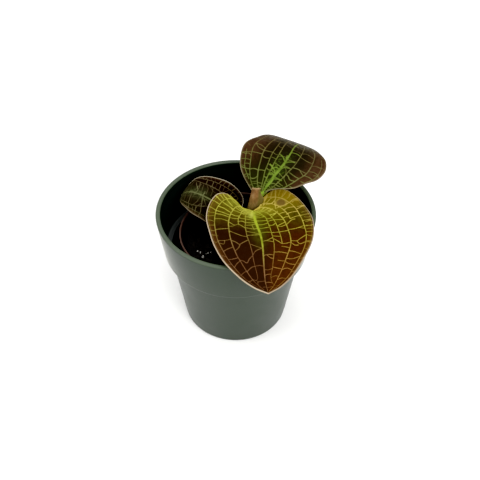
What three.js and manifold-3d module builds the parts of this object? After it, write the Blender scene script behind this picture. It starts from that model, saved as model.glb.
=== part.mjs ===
// A jewel orchid growing in a thin inner pot, which stands inside a taller nursery pot.
// Millimetres, +Z up, with the origin at the centre of the nursery pot's base. The plant's
// largest leaf reaches forward, along -Y, over the rim.
import * as THREE from 'three';
import { mergeVertices } from 'three/addons/utils/BufferGeometryUtils.js';
import Module from 'manifold-3d';

const wasm = await Module();
wasm.setup();

const rad = THREE.MathUtils.degToRad;
const lerp = THREE.MathUtils.lerp;
const clamp = THREE.MathUtils.clamp;

// Nursery pot: a tapered body, a wider band above a shoulder, and a rounded lip.
const potHeight = 89.5;
const potRimRadius = 51;
const potBaseRadius = 35.1;
const potShoulderHeight = 59;
const potShoulderRadius = 43.4;
const potBandRadius = 46.9;
const potWall = 1.6;
const potFloor = 2;
const potLipWidth = 3.3;
const potLipDepth = 4;
const potSides = 48;
const potDrains = { count: 6, radius: 4, ring: 24 };

// Inner pot: thin walls and a flanged rim, standing a little off centre on the nursery pot's floor.
const innerPlace = [1.6, 1, 0];
const innerRimHeight = 70;
const innerRimRadius = 38.7;
const innerRimWidth = 1.7;
const innerRimDepth = 4;
const innerTopRadius = 36.3;
const innerBaseRadius = 26.5;
const innerWall = 0.9;
const innerFloor = 1.2;
const innerSides = 40;
const innerDrains = { count: 5, radius: 3, ring: 15 };

// Potting mix: fills the inner pot, with bark crumbs and perlite grains in its surface.
const soilLevel = 61;
const soilGap = 0.3;
const soilRings = 8;
const soilSides = 32;
const soilRelief = 0.9;
const crumbCount = 24;
const perliteCount = 14;

// Stem: a straight, leaning stem with a ring at each old leaf joint.
const stemFoot = new THREE.Vector3(8.2, 4.6, 48);
const stemCrown = new THREE.Vector3(10.6, 0.8, 89.5);
const stemLength = 42.3;
const stemFootRadius = 2.4;
const stemTopRadius = 1.8;
const stemJoints = [19, 26, 33, 39];
const stemSides = 14;
const seat = 0.3;

// Blades: thickness, and the raised net of veins on their upper face.
const bladeThickness = 0.8;
const veinHeight = 0.3;
const mainVeinHalfWidth = 0.022;
const crossVeinHalfWidth = 0.0075;
const crossVeinShare = 0.72;
const edgeWave = 0.35;

// Each blade is laid out flat: u runs from the petiole joint to the tip and v across, positive
// to the left of a walker going towards the tip. A row holds a point of the midrib and the
// points of the left and right edges that the same cross-rib ends at.
// slopes: upward slope of the midrib at the joint, and at bendLength along it, in degrees.
const frontLeaf = {
  rows: [
    [0, 0, 0, 0, 0, 0],
    [1, 0, -4.2, 4.7, -4.5, -6.6],
    [2, 0.1, -12, 8.4, -11, -9.6],
    [3.2, 0.2, -18, 15.6, -17.3, -13.6],
    [5, 0.4, -17.3, 24.2, -18.3, -20.3],
    [8, 0.6, -8.5, 32.2, -11.5, -26.5],
    [13, 0.8, 4, 35.9, 0, -29.5],
    [22, 0.9, 17, 35.3, 14, -29],
    [33, 0.3, 30, 31.7, 28, -27.1],
    [44.5, -0.6, 43.5, 24.3, 42, -22.8],
    [54.5, -0.8, 54.5, 16.1, 53.2, -15.6],
    [61, -0.4, 61.4, 7.9, 61, -7.3],
    [65, 0, 65, 0, 65, 0],
  ],
  joint: new THREE.Vector3(10.7, -6, 94.7),
  heading: -82.8,
  slopes: [6, -28],
  bendLength: 65,
  bend: 2,
  roll: 0,
  twist: 0,
  camber: -2.2,
  lobeLift: 2,
  sideVeins: [0.225, 0.54, 0.83],
  crossRows: 11,
  seed: 11,
};

const backLeaf = {
  rows: [
    [0, 0, 0, 0, 0, 0],
    [1.2, -0.2, -2.2, 3.5, 1.6, -1.9],
    [3, -0.4, -2.6, 8, 4.4, -4.7],
    [5.5, -0.8, -0.6, 14, 6.9, -8.4],
    [9, -1.5, 3, 20.4, 8.9, -12.9],
    [13, -2, 8.3, 27.2, 12, -17.8],
    [18, -2.1, 16.2, 32.1, 17.6, -22.7],
    [24, -1.5, 25.6, 34.4, 23.4, -27.9],
    [31, 0.2, 36, 32.6, 31.5, -27.2],
    [39, 2.4, 45, 31, 39.3, -21.5],
    [47, 4.8, 53, 25.5, 44.9, -13],
    [55.5, 7.3, 60, 18, 53.4, -3],
    [63.5, 9.5, 63.5, 9.5, 63.5, 9.5],
  ],
  joint: new THREE.Vector3(16.8, 3, 101.2),
  heading: 48,
  slopes: [52, -74],
  bendLength: 66.4,
  bend: 1.3,
  roll: -6,
  twist: 0,
  camber: -1.5,
  lobeLift: 0,
  sideVeins: [0.25, 0.57, 0.85],
  crossRows: 10,
  seed: 23,
};

const leftLeaf = {
  rows: [
    [0, 0, 0, 0, 0, 0],
    [0.7, 0, -2.5, 3.8, -2, -3.8],
    [1.6, 0.2, -4.5, 8, -3.4, -8],
    [3, 0.4, -3.8, 12.5, -2.7, -12.5],
    [5, 0.7, 0, 16.2, 0.3, -16.8],
    [8, 1, 5.5, 17.6, 4.4, -19],
    [12.5, 1.4, 12, 18.3, 11.5, -18.9],
    [19, 1.6, 19.4, 17.9, 19.5, -17.2],
    [26, 1.3, 26.5, 15.7, 27.2, -15.4],
    [33, 0.5, 33.5, 11.8, 33.5, -12.2],
    [39, 0, 39.5, 6.8, 38.3, -7.4],
    [43.2, -0.2, 43.4, 2.9, 42.8, -3.4],
    [46, 0, 46, 0, 46, 0],
  ],
  joint: new THREE.Vector3(-2.7, 7.9, 79.2),
  heading: 154.7,
  slopes: [33, -84],
  bendLength: 46,
  bend: 2.04,
  roll: -2.5,
  twist: -8.5,
  camber: 0,
  lobeLift: 0,
  sideVeins: [0.27, 0.58],
  crossRows: 9,
  seed: 37,
};

// Each leaf's petiole, from its collar on the stem to the joint, and the midrib's keel beyond.
// collar: distances up the stem, and the heading of its middle in degrees.
const frontPetiole = {
  collar: { from: 28, to: 32.5, heading: -90, span: 250 },
  route: [
    [10.15, -1.3, 78.6],
    [10.2, -3.6, 82.2],
    [10.5, -6.6, 88.5],
  ],
  radii: [1.5, 1.5, 1.45],
};
const backPetiole = {
  collar: null,
  route: [
    [10.7, 0.8, 90.3],
    [11.1, 1.2, 93.5],
    [12, 1.9, 96.3],
    [14.3, 2.7, 98.6],
  ],
  radii: [1.6, 1.55, 1.6, 1.65],
};
const leftPetiole = {
  collar: { from: 19.8, to: 24.8, heading: 150, span: 250 },
  route: [
    [7.2, 4.6, 69.5],
    [4.4, 6.1, 71.8],
    [0.6, 7.5, 75.2],
  ],
  radii: [1.2, 1.2, 1.15],
};
const keelRadii = [1.35, 1.1, 0.85, 0.65, 0.5];
const keelStations = [0.04, 0.2, 0.38, 0.58, 0.8];
const keelDepth = 0.55;
const tubeSides = 8;

// Sheath: the papery, split tube of a withered leaf, standing round the stem's top.
const sheathFoot = new THREE.Vector3(10.45, 1.05, 86.8);
const sheathTop = new THREE.Vector3(12.6, 1.1, 107.2);
const sheathFootRadius = 3.2;
const sheathTopRadius = 2.35;
const sheathWall = 0.6;
const sheathMiddle = rad(-100);
const sheathSpan = rad(190);

// Seeded random numbers from 0 to 1, so that the object is the same every time.
function seededRandom(seed) {
  let state = seed >>> 0;
  return () => {
    state = (state + 0x6d2b79f5) >>> 0;
    let mixed = Math.imul(state ^ (state >>> 15), 1 | state);
    mixed = (mixed + Math.imul(mixed ^ (mixed >>> 7), 61 | mixed)) ^ mixed;
    return ((mixed ^ (mixed >>> 14)) >>> 0) / 4294967296;
  };
}

// Joins coinciding vertices and drops the triangles that this leaves without an area.
function weld(geometry) {
  geometry.deleteAttribute('normal');
  geometry.deleteAttribute('uv');
  const welded = mergeVertices(geometry, 1e-4);
  const corners = welded.index.array;
  const kept = [];
  for (let i = 0; i < corners.length; i += 3) {
    const [a, b, c] = [corners[i], corners[i + 1], corners[i + 2]];
    if (a !== b && b !== c && c !== a) {
      kept.push(a, b, c);
    }
  }
  welded.setIndex(kept);
  return welded;
}

// Six times the signed volume: negative where the faces point inwards.
function signedVolume(geometry) {
  const position = geometry.attributes.position;
  const corners = geometry.index.array;
  const [a, b, c] = [new THREE.Vector3(), new THREE.Vector3(), new THREE.Vector3()];
  let total = 0;
  for (let i = 0; i < corners.length; i += 3) {
    a.fromBufferAttribute(position, corners[i]);
    b.fromBufferAttribute(position, corners[i + 1]);
    c.fromBufferAttribute(position, corners[i + 2]);
    total += a.dot(b.cross(c));
  }
  return total;
}

function toSolid(geometry) {
  const welded = weld(geometry);
  const corners = Uint32Array.from(welded.index.array);
  if (signedVolume(welded) < 0) {
    corners.reverse();
  }
  const vertProperties = Float32Array.from(welded.attributes.position.array);
  return new wasm.Manifold(new wasm.Mesh({ numProp: 3, vertProperties, triVerts: corners }));
}

function toGeometry(solid) {
  const mesh = solid.getMesh();
  const geometry = new THREE.BufferGeometry();
  geometry.setAttribute('position', new THREE.BufferAttribute(mesh.vertProperties, 3));
  geometry.setIndex(new THREE.BufferAttribute(mesh.triVerts, 1));
  geometry.computeVertexNormals();
  return geometry;
}

// A body of revolution about Z, from [radius, height] points that start and end on the axis.
function turned(profile, sides) {
  const geometry = new THREE.LatheGeometry(
    profile.map(([radius, height]) => new THREE.Vector2(radius, height)),
    sides,
  );
  return geometry.rotateX(Math.PI / 2);
}

// Cuts a ring of round holes through a floor.
function withDrains(solid, drains, floorHeight) {
  let drained = solid;
  for (let i = 0; i < drains.count; i += 1) {
    const angle = ((i + 0.5) / drains.count) * 2 * Math.PI;
    const drill = new THREE.CylinderGeometry(drains.radius, drains.radius, 8, 12)
      .rotateX(Math.PI / 2)
      .translate(drains.ring * Math.cos(angle), drains.ring * Math.sin(angle), floorHeight);
    drained = drained.subtract(toSolid(drill));
  }
  return drained;
}

// A closed body between two equal grids of points: an outer face, an inner face and four edges.
function shell(outer, inner) {
  const rows = outer.length;
  const columns = outer[0].length;
  const points = [...outer.flat(), ...inner.flat()];
  const at = (face, row, column) => face * rows * columns + row * columns + column;
  const corners = [];
  const quad = (a, b, c, d) => corners.push(a, b, c, a, c, d);
  for (let i = 0; i < rows - 1; i += 1) {
    for (let j = 0; j < columns - 1; j += 1) {
      quad(at(0, i, j), at(0, i, j + 1), at(0, i + 1, j + 1), at(0, i + 1, j));
      corners.push(at(1, i, j), at(1, i + 1, j + 1), at(1, i, j + 1));
      corners.push(at(1, i, j), at(1, i + 1, j), at(1, i + 1, j + 1));
    }
  }
  for (let i = 0; i < rows - 1; i += 1) {
    quad(at(0, i, 0), at(0, i + 1, 0), at(1, i + 1, 0), at(1, i, 0));
    const last = columns - 1;
    quad(at(0, i + 1, last), at(0, i, last), at(1, i, last), at(1, i + 1, last));
  }
  for (let j = 0; j < columns - 1; j += 1) {
    quad(at(0, 0, j + 1), at(0, 0, j), at(1, 0, j), at(1, 0, j + 1));
    const last = rows - 1;
    quad(at(0, last, j), at(0, last, j + 1), at(1, last, j + 1), at(1, last, j));
  }
  const geometry = new THREE.BufferGeometry().setFromPoints(points);
  geometry.setIndex(corners);
  return geometry;
}

// A round bar that follows a smooth route, its radius changing from point to point.
function taperedBar(route, radii) {
  const curve = new THREE.CatmullRomCurve3(route);
  const steps = route.length * 2;
  const frames = curve.computeFrenetFrames(steps, false);
  const points = [];
  const corners = [];
  for (let i = 0; i <= steps; i += 1) {
    const along = curve.getUtoTmapping(i / steps) * (radii.length - 1);
    const before = Math.min(Math.floor(along), radii.length - 2);
    const radius = lerp(radii[before], radii[before + 1], along - before);
    const centre = curve.getPointAt(i / steps);
    for (let j = 0; j < tubeSides; j += 1) {
      const angle = (j / tubeSides) * 2 * Math.PI;
      points.push(centre.clone()
        .addScaledVector(frames.normals[i], radius * Math.cos(angle))
        .addScaledVector(frames.binormals[i], radius * Math.sin(angle)));
    }
  }
  for (let i = 0; i < steps; i += 1) {
    for (let j = 0; j < tubeSides; j += 1) {
      const next = (j + 1) % tubeSides;
      const [a, b] = [i * tubeSides + j, i * tubeSides + next];
      corners.push(a, b, b + tubeSides, a, b + tubeSides, a + tubeSides);
    }
  }
  const lastRing = steps * tubeSides;
  for (let j = 1; j < tubeSides - 1; j += 1) {
    corners.push(0, j + 1, j, lastRing, lastRing + j, lastRing + j + 1);
  }
  const geometry = new THREE.BufferGeometry().setFromPoints(points);
  geometry.setIndex(corners);
  return geometry;
}

// The place along the plant's stem axis at a distance from its foot.
const stemDirection = stemCrown.clone().sub(stemFoot).normalize();
function stemPoint(distance) {
  return stemFoot.clone().addScaledVector(stemDirection, distance);
}
function stemRadius(distance) {
  return lerp(stemFootRadius, stemTopRadius, clamp(distance / stemLength, 0, 1));
}

function makePot() {
  const lipInside = potRimRadius - potLipWidth;
  const bandAt = (height) => lerp(potBandRadius, potRimRadius,
    (height - potShoulderHeight) / (potHeight - potShoulderHeight));
  const underLip = potHeight - potLipDepth;
  const ledge = potShoulderHeight + potWall;
  const profile = [
    [0, 0],
    [potBaseRadius - 1.5, 0],
    [potBaseRadius - 0.4, 0.5],
    [potBaseRadius, 1.6],
    [potShoulderRadius, potShoulderHeight - 0.6],
    [potShoulderRadius + 0.3, potShoulderHeight],
    [potBandRadius - 0.7, potShoulderHeight],
    [potBandRadius, potShoulderHeight + 0.6],
    [potRimRadius - 0.2, potHeight - 1.9],
    [potRimRadius, potHeight - 1.1],
    [potRimRadius - 0.4, potHeight - 0.3],
    [potRimRadius - 1.2, potHeight],
    [lipInside + 1.1, potHeight],
    [lipInside + 0.3, potHeight - 0.3],
    [lipInside, potHeight - 1.2],
    [lipInside + 0.2, underLip + 0.6],
    [bandAt(underLip) - potWall, underLip],
    [bandAt(ledge) - potWall, ledge + 0.5],
    [bandAt(ledge) - potWall - 0.5, ledge],
    [potShoulderRadius - potWall + 0.6, ledge],
    [potShoulderRadius - potWall, ledge - 0.8],
    [potBaseRadius - potWall, potFloor + 1],
    [potBaseRadius - potWall - 1, potFloor],
    [0, potFloor],
  ];
  return withDrains(toSolid(turned(profile, potSides)), potDrains, potFloor / 2);
}

function makeInnerPot() {
  const underRim = innerRimHeight - innerRimDepth;
  const inside = innerRimRadius - innerRimWidth;
  const profile = [
    [0, potFloor],
    [innerBaseRadius - 0.7, potFloor],
    [innerBaseRadius, potFloor + 0.7],
    [innerTopRadius, underRim],
    [innerRimRadius - 0.4, underRim + 0.4],
    [innerRimRadius, innerRimHeight - 0.7],
    [innerRimRadius - 0.4, innerRimHeight],
    [inside + 0.4, innerRimHeight],
    [inside, innerRimHeight - 0.5],
    [innerTopRadius - innerWall, underRim - 0.8],
    [innerBaseRadius - innerWall, potFloor + innerFloor],
    [0, potFloor + innerFloor],
  ];
  const pot = withDrains(toSolid(turned(profile, innerSides)), innerDrains, potFloor + innerFloor / 2);
  return pot.translate(innerPlace);
}

// Gentle lumps in the surface of the potting mix, fading out at the pot's wall.
function soilHeight(x, y, edgeRadius) {
  const lumps = Math.sin(0.34 * x + 1.3) * Math.cos(0.31 * y - 0.4)
    + 0.6 * Math.sin(0.42 * x - 0.33 * y + 2.1)
    + 0.4 * Math.cos(0.52 * y + 0.25 * x);
  const calm = 1 - (Math.hypot(x, y) / edgeRadius) ** 6;
  return soilLevel + soilRelief * lumps * calm;
}

function makeSoil() {
  const wallAt = (height) => lerp(innerBaseRadius, innerTopRadius,
    (height - potFloor) / (innerRimHeight - innerRimDepth - potFloor)) - innerWall - soilGap;
  const bottom = potFloor + innerFloor + soilGap;
  const edgeRadius = wallAt(soilLevel) - soilGap;
  const profile = [[0, bottom], [wallAt(bottom) - soilGap, bottom]];
  for (let ring = soilRings; ring >= 0; ring -= 1) {
    profile.push([(edgeRadius * ring) / soilRings, soilLevel]);
  }
  const bed = turned(profile, soilSides);
  const position = bed.attributes.position;
  for (let i = 0; i < position.count; i += 1) {
    if (position.getZ(i) > soilLevel - 1) {
      position.setZ(i, soilHeight(position.getX(i), position.getY(i), edgeRadius));
    }
  }
  let soil = toSolid(bed);
  const random = seededRandom(5);
  for (let i = 0; i < crumbCount + perliteCount; i += 1) {
    const size = i < crumbCount ? lerp(1.6, 3, random()) : lerp(0.9, 1.5, random());
    const distance = (edgeRadius - 4) * Math.sqrt(random());
    const angle = 2 * Math.PI * random();
    const [x, y] = [distance * Math.cos(angle), distance * Math.sin(angle)];
    const lump = new THREE.IcosahedronGeometry(size, 0)
      .scale(1, lerp(0.6, 1, random()), lerp(0.7, 0.9, random()))
      .rotateZ(Math.PI * random())
      .translate(x, y, soilHeight(x, y, edgeRadius) - 0.25 * size);
    const foot = stemPoint(14);
    if (Math.hypot(x + innerPlace[0] - foot.x, y + innerPlace[1] - foot.y) > 7) {
      soil = soil.add(toSolid(lump));
    }
  }
  const hole = new THREE.CylinderGeometry(stemFootRadius + seat, stemFootRadius + seat, 40, stemSides)
    .rotateX(Math.PI / 2)
    .translate(0, 0, 20 - seat);
  return soil.translate(innerPlace).subtract(toSolid(alignToStem(hole)));
}

// Turns a shape built upright on the origin so that it stands on the stem's foot, along the stem.
function alignToStem(geometry) {
  const turn = new THREE.Quaternion().setFromUnitVectors(new THREE.Vector3(0, 0, 1), stemDirection);
  return geometry.applyQuaternion(turn).translate(stemFoot.x, stemFoot.y, stemFoot.z);
}

function makeStem() {
  const profile = [[0, 0], [stemFootRadius, 0]];
  for (const joint of stemJoints) {
    const radius = stemRadius(joint);
    profile.push([radius, joint - 0.9], [radius + 0.18, joint - 0.3], [radius, joint + 0.3]);
  }
  profile.push([stemTopRadius, stemLength - 0.4], [stemTopRadius - 0.4, stemLength], [0, stemLength]);
  return toSolid(alignToStem(turned(profile, stemSides)));
}

// The flat layout of a blade at s along it, from joint to tip, and t across it, from -1 to 1.
function layout(leaf, s, t) {
  const place = s * (leaf.rows.length - 1);
  const row = Math.min(Math.floor(place), leaf.rows.length - 2);
  const part = place - row;
  const value = (column) => {
    const at = (k) => leaf.rows[k][column];
    const before = row > 0 ? at(row - 1) : 2 * at(0) - at(1);
    const after = row < leaf.rows.length - 2 ? at(row + 2) : 2 * at(row + 1) - at(row);
    const [out, into] = [(at(row + 1) - before) / 2, (after - at(row)) / 2];
    const [cubic, square] = [2 * (at(row) - at(row + 1)) + out + into,
      3 * (at(row + 1) - at(row)) - 2 * out - into];
    return ((cubic * part + square) * part + out) * part + at(row);
  };
  const edge = t > 0 ? 2 : 4;
  const share = Math.abs(t);
  const hook = 2 - THREE.MathUtils.smoothstep(s, 0.3, 0.75);
  return {
    u: lerp(value(0), value(edge), share ** hook),
    v: lerp(value(1), value(edge + 1), share),
    share,
  };
}

// A point of a blade in space, lifted off the bent sheet by a height.
function bladePoint(leaf, u, v, lift) {
  const slopeAt = (distance) => {
    const share = clamp(distance / leaf.bendLength, 0, 1.3) ** leaf.bend;
    return rad(lerp(leaf.slopes[0], leaf.slopes[1], share));
  };
  const steps = 24;
  let [along, rise] = [0, 0];
  for (let i = 0; i < steps; i += 1) {
    const slope = slopeAt(((i + 0.5) / steps) * u);
    along += (Math.cos(slope) * u) / steps;
    rise += (Math.sin(slope) * u) / steps;
  }
  const heading = rad(leaf.heading);
  const forward = new THREE.Vector3(Math.cos(heading), Math.sin(heading), 0);
  const up = new THREE.Vector3(0, 0, 1);
  const level = new THREE.Vector3().crossVectors(up, forward);
  const slope = slopeAt(u);
  const upright = up.clone().multiplyScalar(Math.cos(slope)).addScaledVector(forward, -Math.sin(slope));
  const roll = rad(leaf.roll + leaf.twist * clamp(u / leaf.bendLength, 0, 1));
  const side = level.clone().multiplyScalar(Math.cos(roll)).addScaledVector(upright, Math.sin(roll));
  const normal = upright.clone().multiplyScalar(Math.cos(roll)).addScaledVector(level, -Math.sin(roll));
  const lobe = leaf.lobeLift * (Math.max(-u, 0) / 15) ** 1.5;
  const raised = lift + leaf.camber * (v / 30) ** 2 + lobe;
  return leaf.joint.clone()
    .addScaledVector(forward, along)
    .addScaledVector(up, rise)
    .addScaledVector(side, v)
    .addScaledVector(normal, raised);
}

// The blade's columns: each long vein is a crest between two flanks. Lanes lie between veins.
function bladeColumns(leaf) {
  const columns = [{ t: 0, crest: true, lane: -1 }];
  leaf.sideVeins.forEach((t, i) => {
    columns.push({ t: t - mainVeinHalfWidth, crest: false, lane: i });
    columns.push({ t, crest: true, lane: -1 });
    columns.push({ t: t + mainVeinHalfWidth, crest: false, lane: i + 1 });
  });
  columns.splice(1, 0, { t: mainVeinHalfWidth, crest: false, lane: 0 });
  columns.push({ t: 0.95, crest: false, lane: leaf.sideVeins.length });
  columns.push({ t: 1, crest: false, lane: -1 });
  const mirrored = columns.slice(1).reverse().map((column) => ({
    t: -column.t,
    crest: column.crest,
    lane: column.lane < 0 ? -1 : column.lane + 10,
  }));
  return [...mirrored, ...columns];
}

// The blade's rows: the cross veins' crests, each between two flanks, closer near the joint.
function bladeRows(leaf) {
  const rows = [{ s: 0, cross: -1 }, { s: 0.04, cross: -1 }, { s: 0.09, cross: -1 }];
  for (let i = 0; i < leaf.crossRows; i += 1) {
    const s = lerp(0.16, 0.93, (i / (leaf.crossRows - 1)) ** 1.05);
    rows.push({ s: s - crossVeinHalfWidth, cross: -1 });
    rows.push({ s, cross: i });
    rows.push({ s: s + crossVeinHalfWidth, cross: -1 });
  }
  rows.push({ s: 0.975, cross: -1 }, { s: 1, cross: -1 });
  return rows;
}

function makeBlade(leaf) {
  const random = seededRandom(leaf.seed);
  const laneHasVein = Array.from({ length: 20 }, () => Array.from(
    { length: leaf.crossRows },
    () => random() < crossVeinShare,
  ));
  const columns = bladeColumns(leaf);
  const [upper, lower] = [[], []];
  for (const row of bladeRows(leaf)) {
    const fade = THREE.MathUtils.smoothstep(row.s, 0.05, 0.16)
      * (1 - THREE.MathUtils.smoothstep(row.s, 0.93, 0.985));
    const [above, below] = [[], []];
    for (const column of columns) {
      const sway = 0.016 * Math.sin(5.3 * column.t + 2.1 * row.s * leaf.crossRows + leaf.seed) * fade;
      const { u, v, share } = layout(leaf, row.s + sway, column.t);
      const onCross = row.cross >= 0 && column.lane >= 0 && laneHasVein[column.lane][row.cross];
      const ridge = column.crest || onCross ? veinHeight * fade : 0;
      const wave = edgeWave * Math.sin(2 * Math.PI * 4.5 * row.s + leaf.seed) * share ** 3 * fade;
      above.push(bladePoint(leaf, u, v, wave + ridge));
      below.push(bladePoint(leaf, u, v, wave - bladeThickness));
    }
    upper.push(above);
    lower.push(below);
  }
  return toSolid(shell(upper, lower));
}

// A sleeve round part of the stem, where a petiole clasps it.
function makeCollar(collar) {
  const [outer, inner] = [[], []];
  const [bands, slices] = [2, 12];
  for (let i = 0; i <= bands; i += 1) {
    const height = lerp(collar.from, collar.to, i / bands);
    const near = stemFootRadius + seat;
    const wall = i === bands / 2 ? 1 : 0.7;
    const [outerRow, innerRow] = [[], []];
    for (let j = 0; j <= slices; j += 1) {
      const angle = rad(collar.heading + collar.span * (j / slices - 0.5));
      const ray = new THREE.Vector3(Math.cos(angle), Math.sin(angle), 0);
      outerRow.push(ray.clone().multiplyScalar(near + wall).setZ(height));
      innerRow.push(ray.clone().multiplyScalar(near).setZ(height));
    }
    outer.push(outerRow);
    inner.push(innerRow);
  }
  return toSolid(alignToStem(shell(outer, inner)));
}

function makeLeaf(leaf, petiole) {
  const route = petiole.route.map(([x, y, z]) => new THREE.Vector3(x, y, z));
  const length = leaf.rows[leaf.rows.length - 1][0];
  keelStations.forEach((share, i) => {
    const { v } = layout(leaf, share ** 0.8, 0);
    const lift = -bladeThickness - keelDepth * keelRadii[i];
    route.push(bladePoint(leaf, length * share, v, lift));
  });
  const bar = toSolid(taperedBar(route, [...petiole.radii, ...keelRadii]));
  const body = makeBlade(leaf).add(bar);
  return petiole.collar ? body.add(makeCollar(petiole.collar)) : body;
}

function makeSheath() {
  const axis = sheathTop.clone().sub(sheathFoot);
  const [bands, slices] = [8, 14];
  const [outer, inner] = [[], []];
  for (let i = 0; i <= bands; i += 1) {
    const share = i / bands;
    const radius = lerp(sheathFootRadius, sheathTopRadius, share ** 0.8);
    const [outerRow, innerRow] = [[], []];
    for (let j = 0; j <= slices; j += 1) {
      const angle = sheathMiddle + sheathSpan * (j / slices - 0.5);
      const ray = new THREE.Vector3(Math.cos(angle), Math.sin(angle), 0);
      const fluted = radius + 0.08 * Math.sin(9 * angle);
      const tornEdge = i === bands ? 0.5 * Math.sin(4.2 * angle + 1) : 0;
      const centre = sheathFoot.clone().addScaledVector(axis, share);
      centre.z += tornEdge;
      outerRow.push(centre.clone().addScaledVector(ray, fluted));
      innerRow.push(centre.clone().addScaledVector(ray, fluted - sheathWall));
    }
    outer.push(outerRow);
    inner.push(innerRow);
  }
  return toSolid(shell(outer, inner));
}

const greenPlastic = { color: 0x4b5a4c, roughness: 0.45, metalness: 0 };
const terracottaPlastic = { color: 0x7a3c26, roughness: 0.6, metalness: 0 };
const pottingMix = { color: 0x1b1512, roughness: 0.95, metalness: 0 };
const greenStem = { color: 0x5c7a2c, roughness: 0.5, metalness: 0 };
const driedSheath = { color: 0xa87a4e, roughness: 0.8, metalness: 0 };
const frontBlade = { color: 0x7d5a1e, roughness: 0.45, metalness: 0 };
const backBlade = { color: 0x4a3d1a, roughness: 0.4, metalness: 0 };
const leftBlade = { color: 0x3a2a1c, roughness: 0.5, metalness: 0 };

const orchid = new THREE.Group();
function addPiece(name, solid, finish) {
  const piece = new THREE.Mesh(toGeometry(solid), new THREE.MeshStandardMaterial(finish));
  piece.name = name;
  orchid.add(piece);
}

addPiece('pot', makePot(), greenPlastic);
addPiece('inner_pot', makeInnerPot(), terracottaPlastic);
addPiece('soil', makeSoil(), pottingMix);
addPiece('stem', makeStem(), greenStem);
addPiece('sheath', makeSheath(), driedSheath);
addPiece('leaf_front', makeLeaf(frontLeaf, frontPetiole), frontBlade);
addPiece('leaf_back', makeLeaf(backLeaf, backPetiole), backBlade);
addPiece('leaf_left', makeLeaf(leftLeaf, leftPetiole), leftBlade);

export default orchid;
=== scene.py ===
# A potted jewel orchid: three net-veined leaves, a thin inner pot and a nursery pot.
import math

import bmesh
import bpy
import numpy as np
from mathutils import Matrix, Vector, noise


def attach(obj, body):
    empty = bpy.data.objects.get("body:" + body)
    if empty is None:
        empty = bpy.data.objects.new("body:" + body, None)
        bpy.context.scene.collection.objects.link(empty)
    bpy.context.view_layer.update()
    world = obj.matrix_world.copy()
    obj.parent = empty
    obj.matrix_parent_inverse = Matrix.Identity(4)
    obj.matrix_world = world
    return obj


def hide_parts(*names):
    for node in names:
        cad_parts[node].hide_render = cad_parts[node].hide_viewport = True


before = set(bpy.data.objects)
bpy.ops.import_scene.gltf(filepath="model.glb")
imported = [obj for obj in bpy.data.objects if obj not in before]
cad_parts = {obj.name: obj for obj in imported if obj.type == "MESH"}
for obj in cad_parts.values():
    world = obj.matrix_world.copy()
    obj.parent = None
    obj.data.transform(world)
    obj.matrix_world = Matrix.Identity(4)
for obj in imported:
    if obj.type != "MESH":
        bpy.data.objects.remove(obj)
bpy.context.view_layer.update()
print("frame loaded")

# Shapes are laid out in millimetres and scaled on their way into a mesh.
mm = 0.001
up = np.array([0, 0, 1.0])


def smoothStep(low, high, value):
    share = np.clip((np.asarray(value, float) - low) / (high - low), 0, 1)
    return share * share * (3 - 2 * share)


def mixed(low, high, share):
    return low + (high - low) * share


def rayAt(angle, flatness=1.0):
    return np.array([math.cos(angle), flatness * math.sin(angle), 0])


def makePiece(name, points, faces, materials, nodes=(), smoothAngle=40):
    mesh = bpy.data.meshes.new(name)
    mesh.from_pydata([tuple(p) for p in np.asarray(points, float) * mm], [], faces)
    mesh.validate()
    mesh.shade_smooth()
    if smoothAngle < 180:
        mesh.set_sharp_from_angle(angle=math.radians(smoothAngle))
    for material in materials:
        mesh.materials.append(material)
    piece = bpy.data.objects.new(name, mesh)
    bpy.context.scene.collection.objects.link(piece)
    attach(piece, "root")
    for node in nodes:
        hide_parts(node)
    return piece


def setMask(piece, name, values):
    layer = piece.data.attributes.new(name, "FLOAT", "POINT")
    layer.data.foreach_set("value", np.asarray(values, np.float32))


# Rounds the corners of a (radius, height, rounding) outline with short arcs.
def roundedOutline(corners, steps):
    sharpest = 0.02
    outline = [corners[0][:2]]
    for before, corner, after in zip(corners, corners[1:], corners[2:]):
        here = np.array(corner[:2], float)
        toBefore = np.array(before[:2], float) - here
        toAfter = np.array(after[:2], float) - here
        reach = min(corner[2], np.linalg.norm(toBefore) * 0.48, np.linalg.norm(toAfter) * 0.48)
        if reach < sharpest:
            outline.append(tuple(here))
            continue
        start = here + toBefore / np.linalg.norm(toBefore) * reach
        end = here + toAfter / np.linalg.norm(toAfter) * reach
        for k in range(steps + 1):
            w = k / steps
            outline.append(tuple((1 - w) ** 2 * start + 2 * w * (1 - w) * here + w * w * end))
    outline.append(corners[-1][:2])
    return outline


# Points and faces of a body turned about the upright axis, closed where it meets the axis.
def turned(outline, sides):
    points, rings, faces = [], [], []
    for radius, height in outline:
        if radius < 1e-6:
            rings.append([len(points)])
            points.append((0, 0, height))
            continue
        rings.append(list(range(len(points), len(points) + sides)))
        for k in range(sides):
            angle = 2 * math.pi * k / sides
            points.append((radius * math.cos(angle), radius * math.sin(angle), height))
    for low, high in zip(rings, rings[1:]):
        for k in range(sides):
            j = (k + 1) % sides
            if len(low) == 1:
                faces.append((low[0], high[j], high[k]))
            elif len(high) == 1:
                faces.append((low[k], low[j], high[0]))
            else:
                faces.append((low[k], low[j], high[j], high[k]))
    return points, faces


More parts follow.
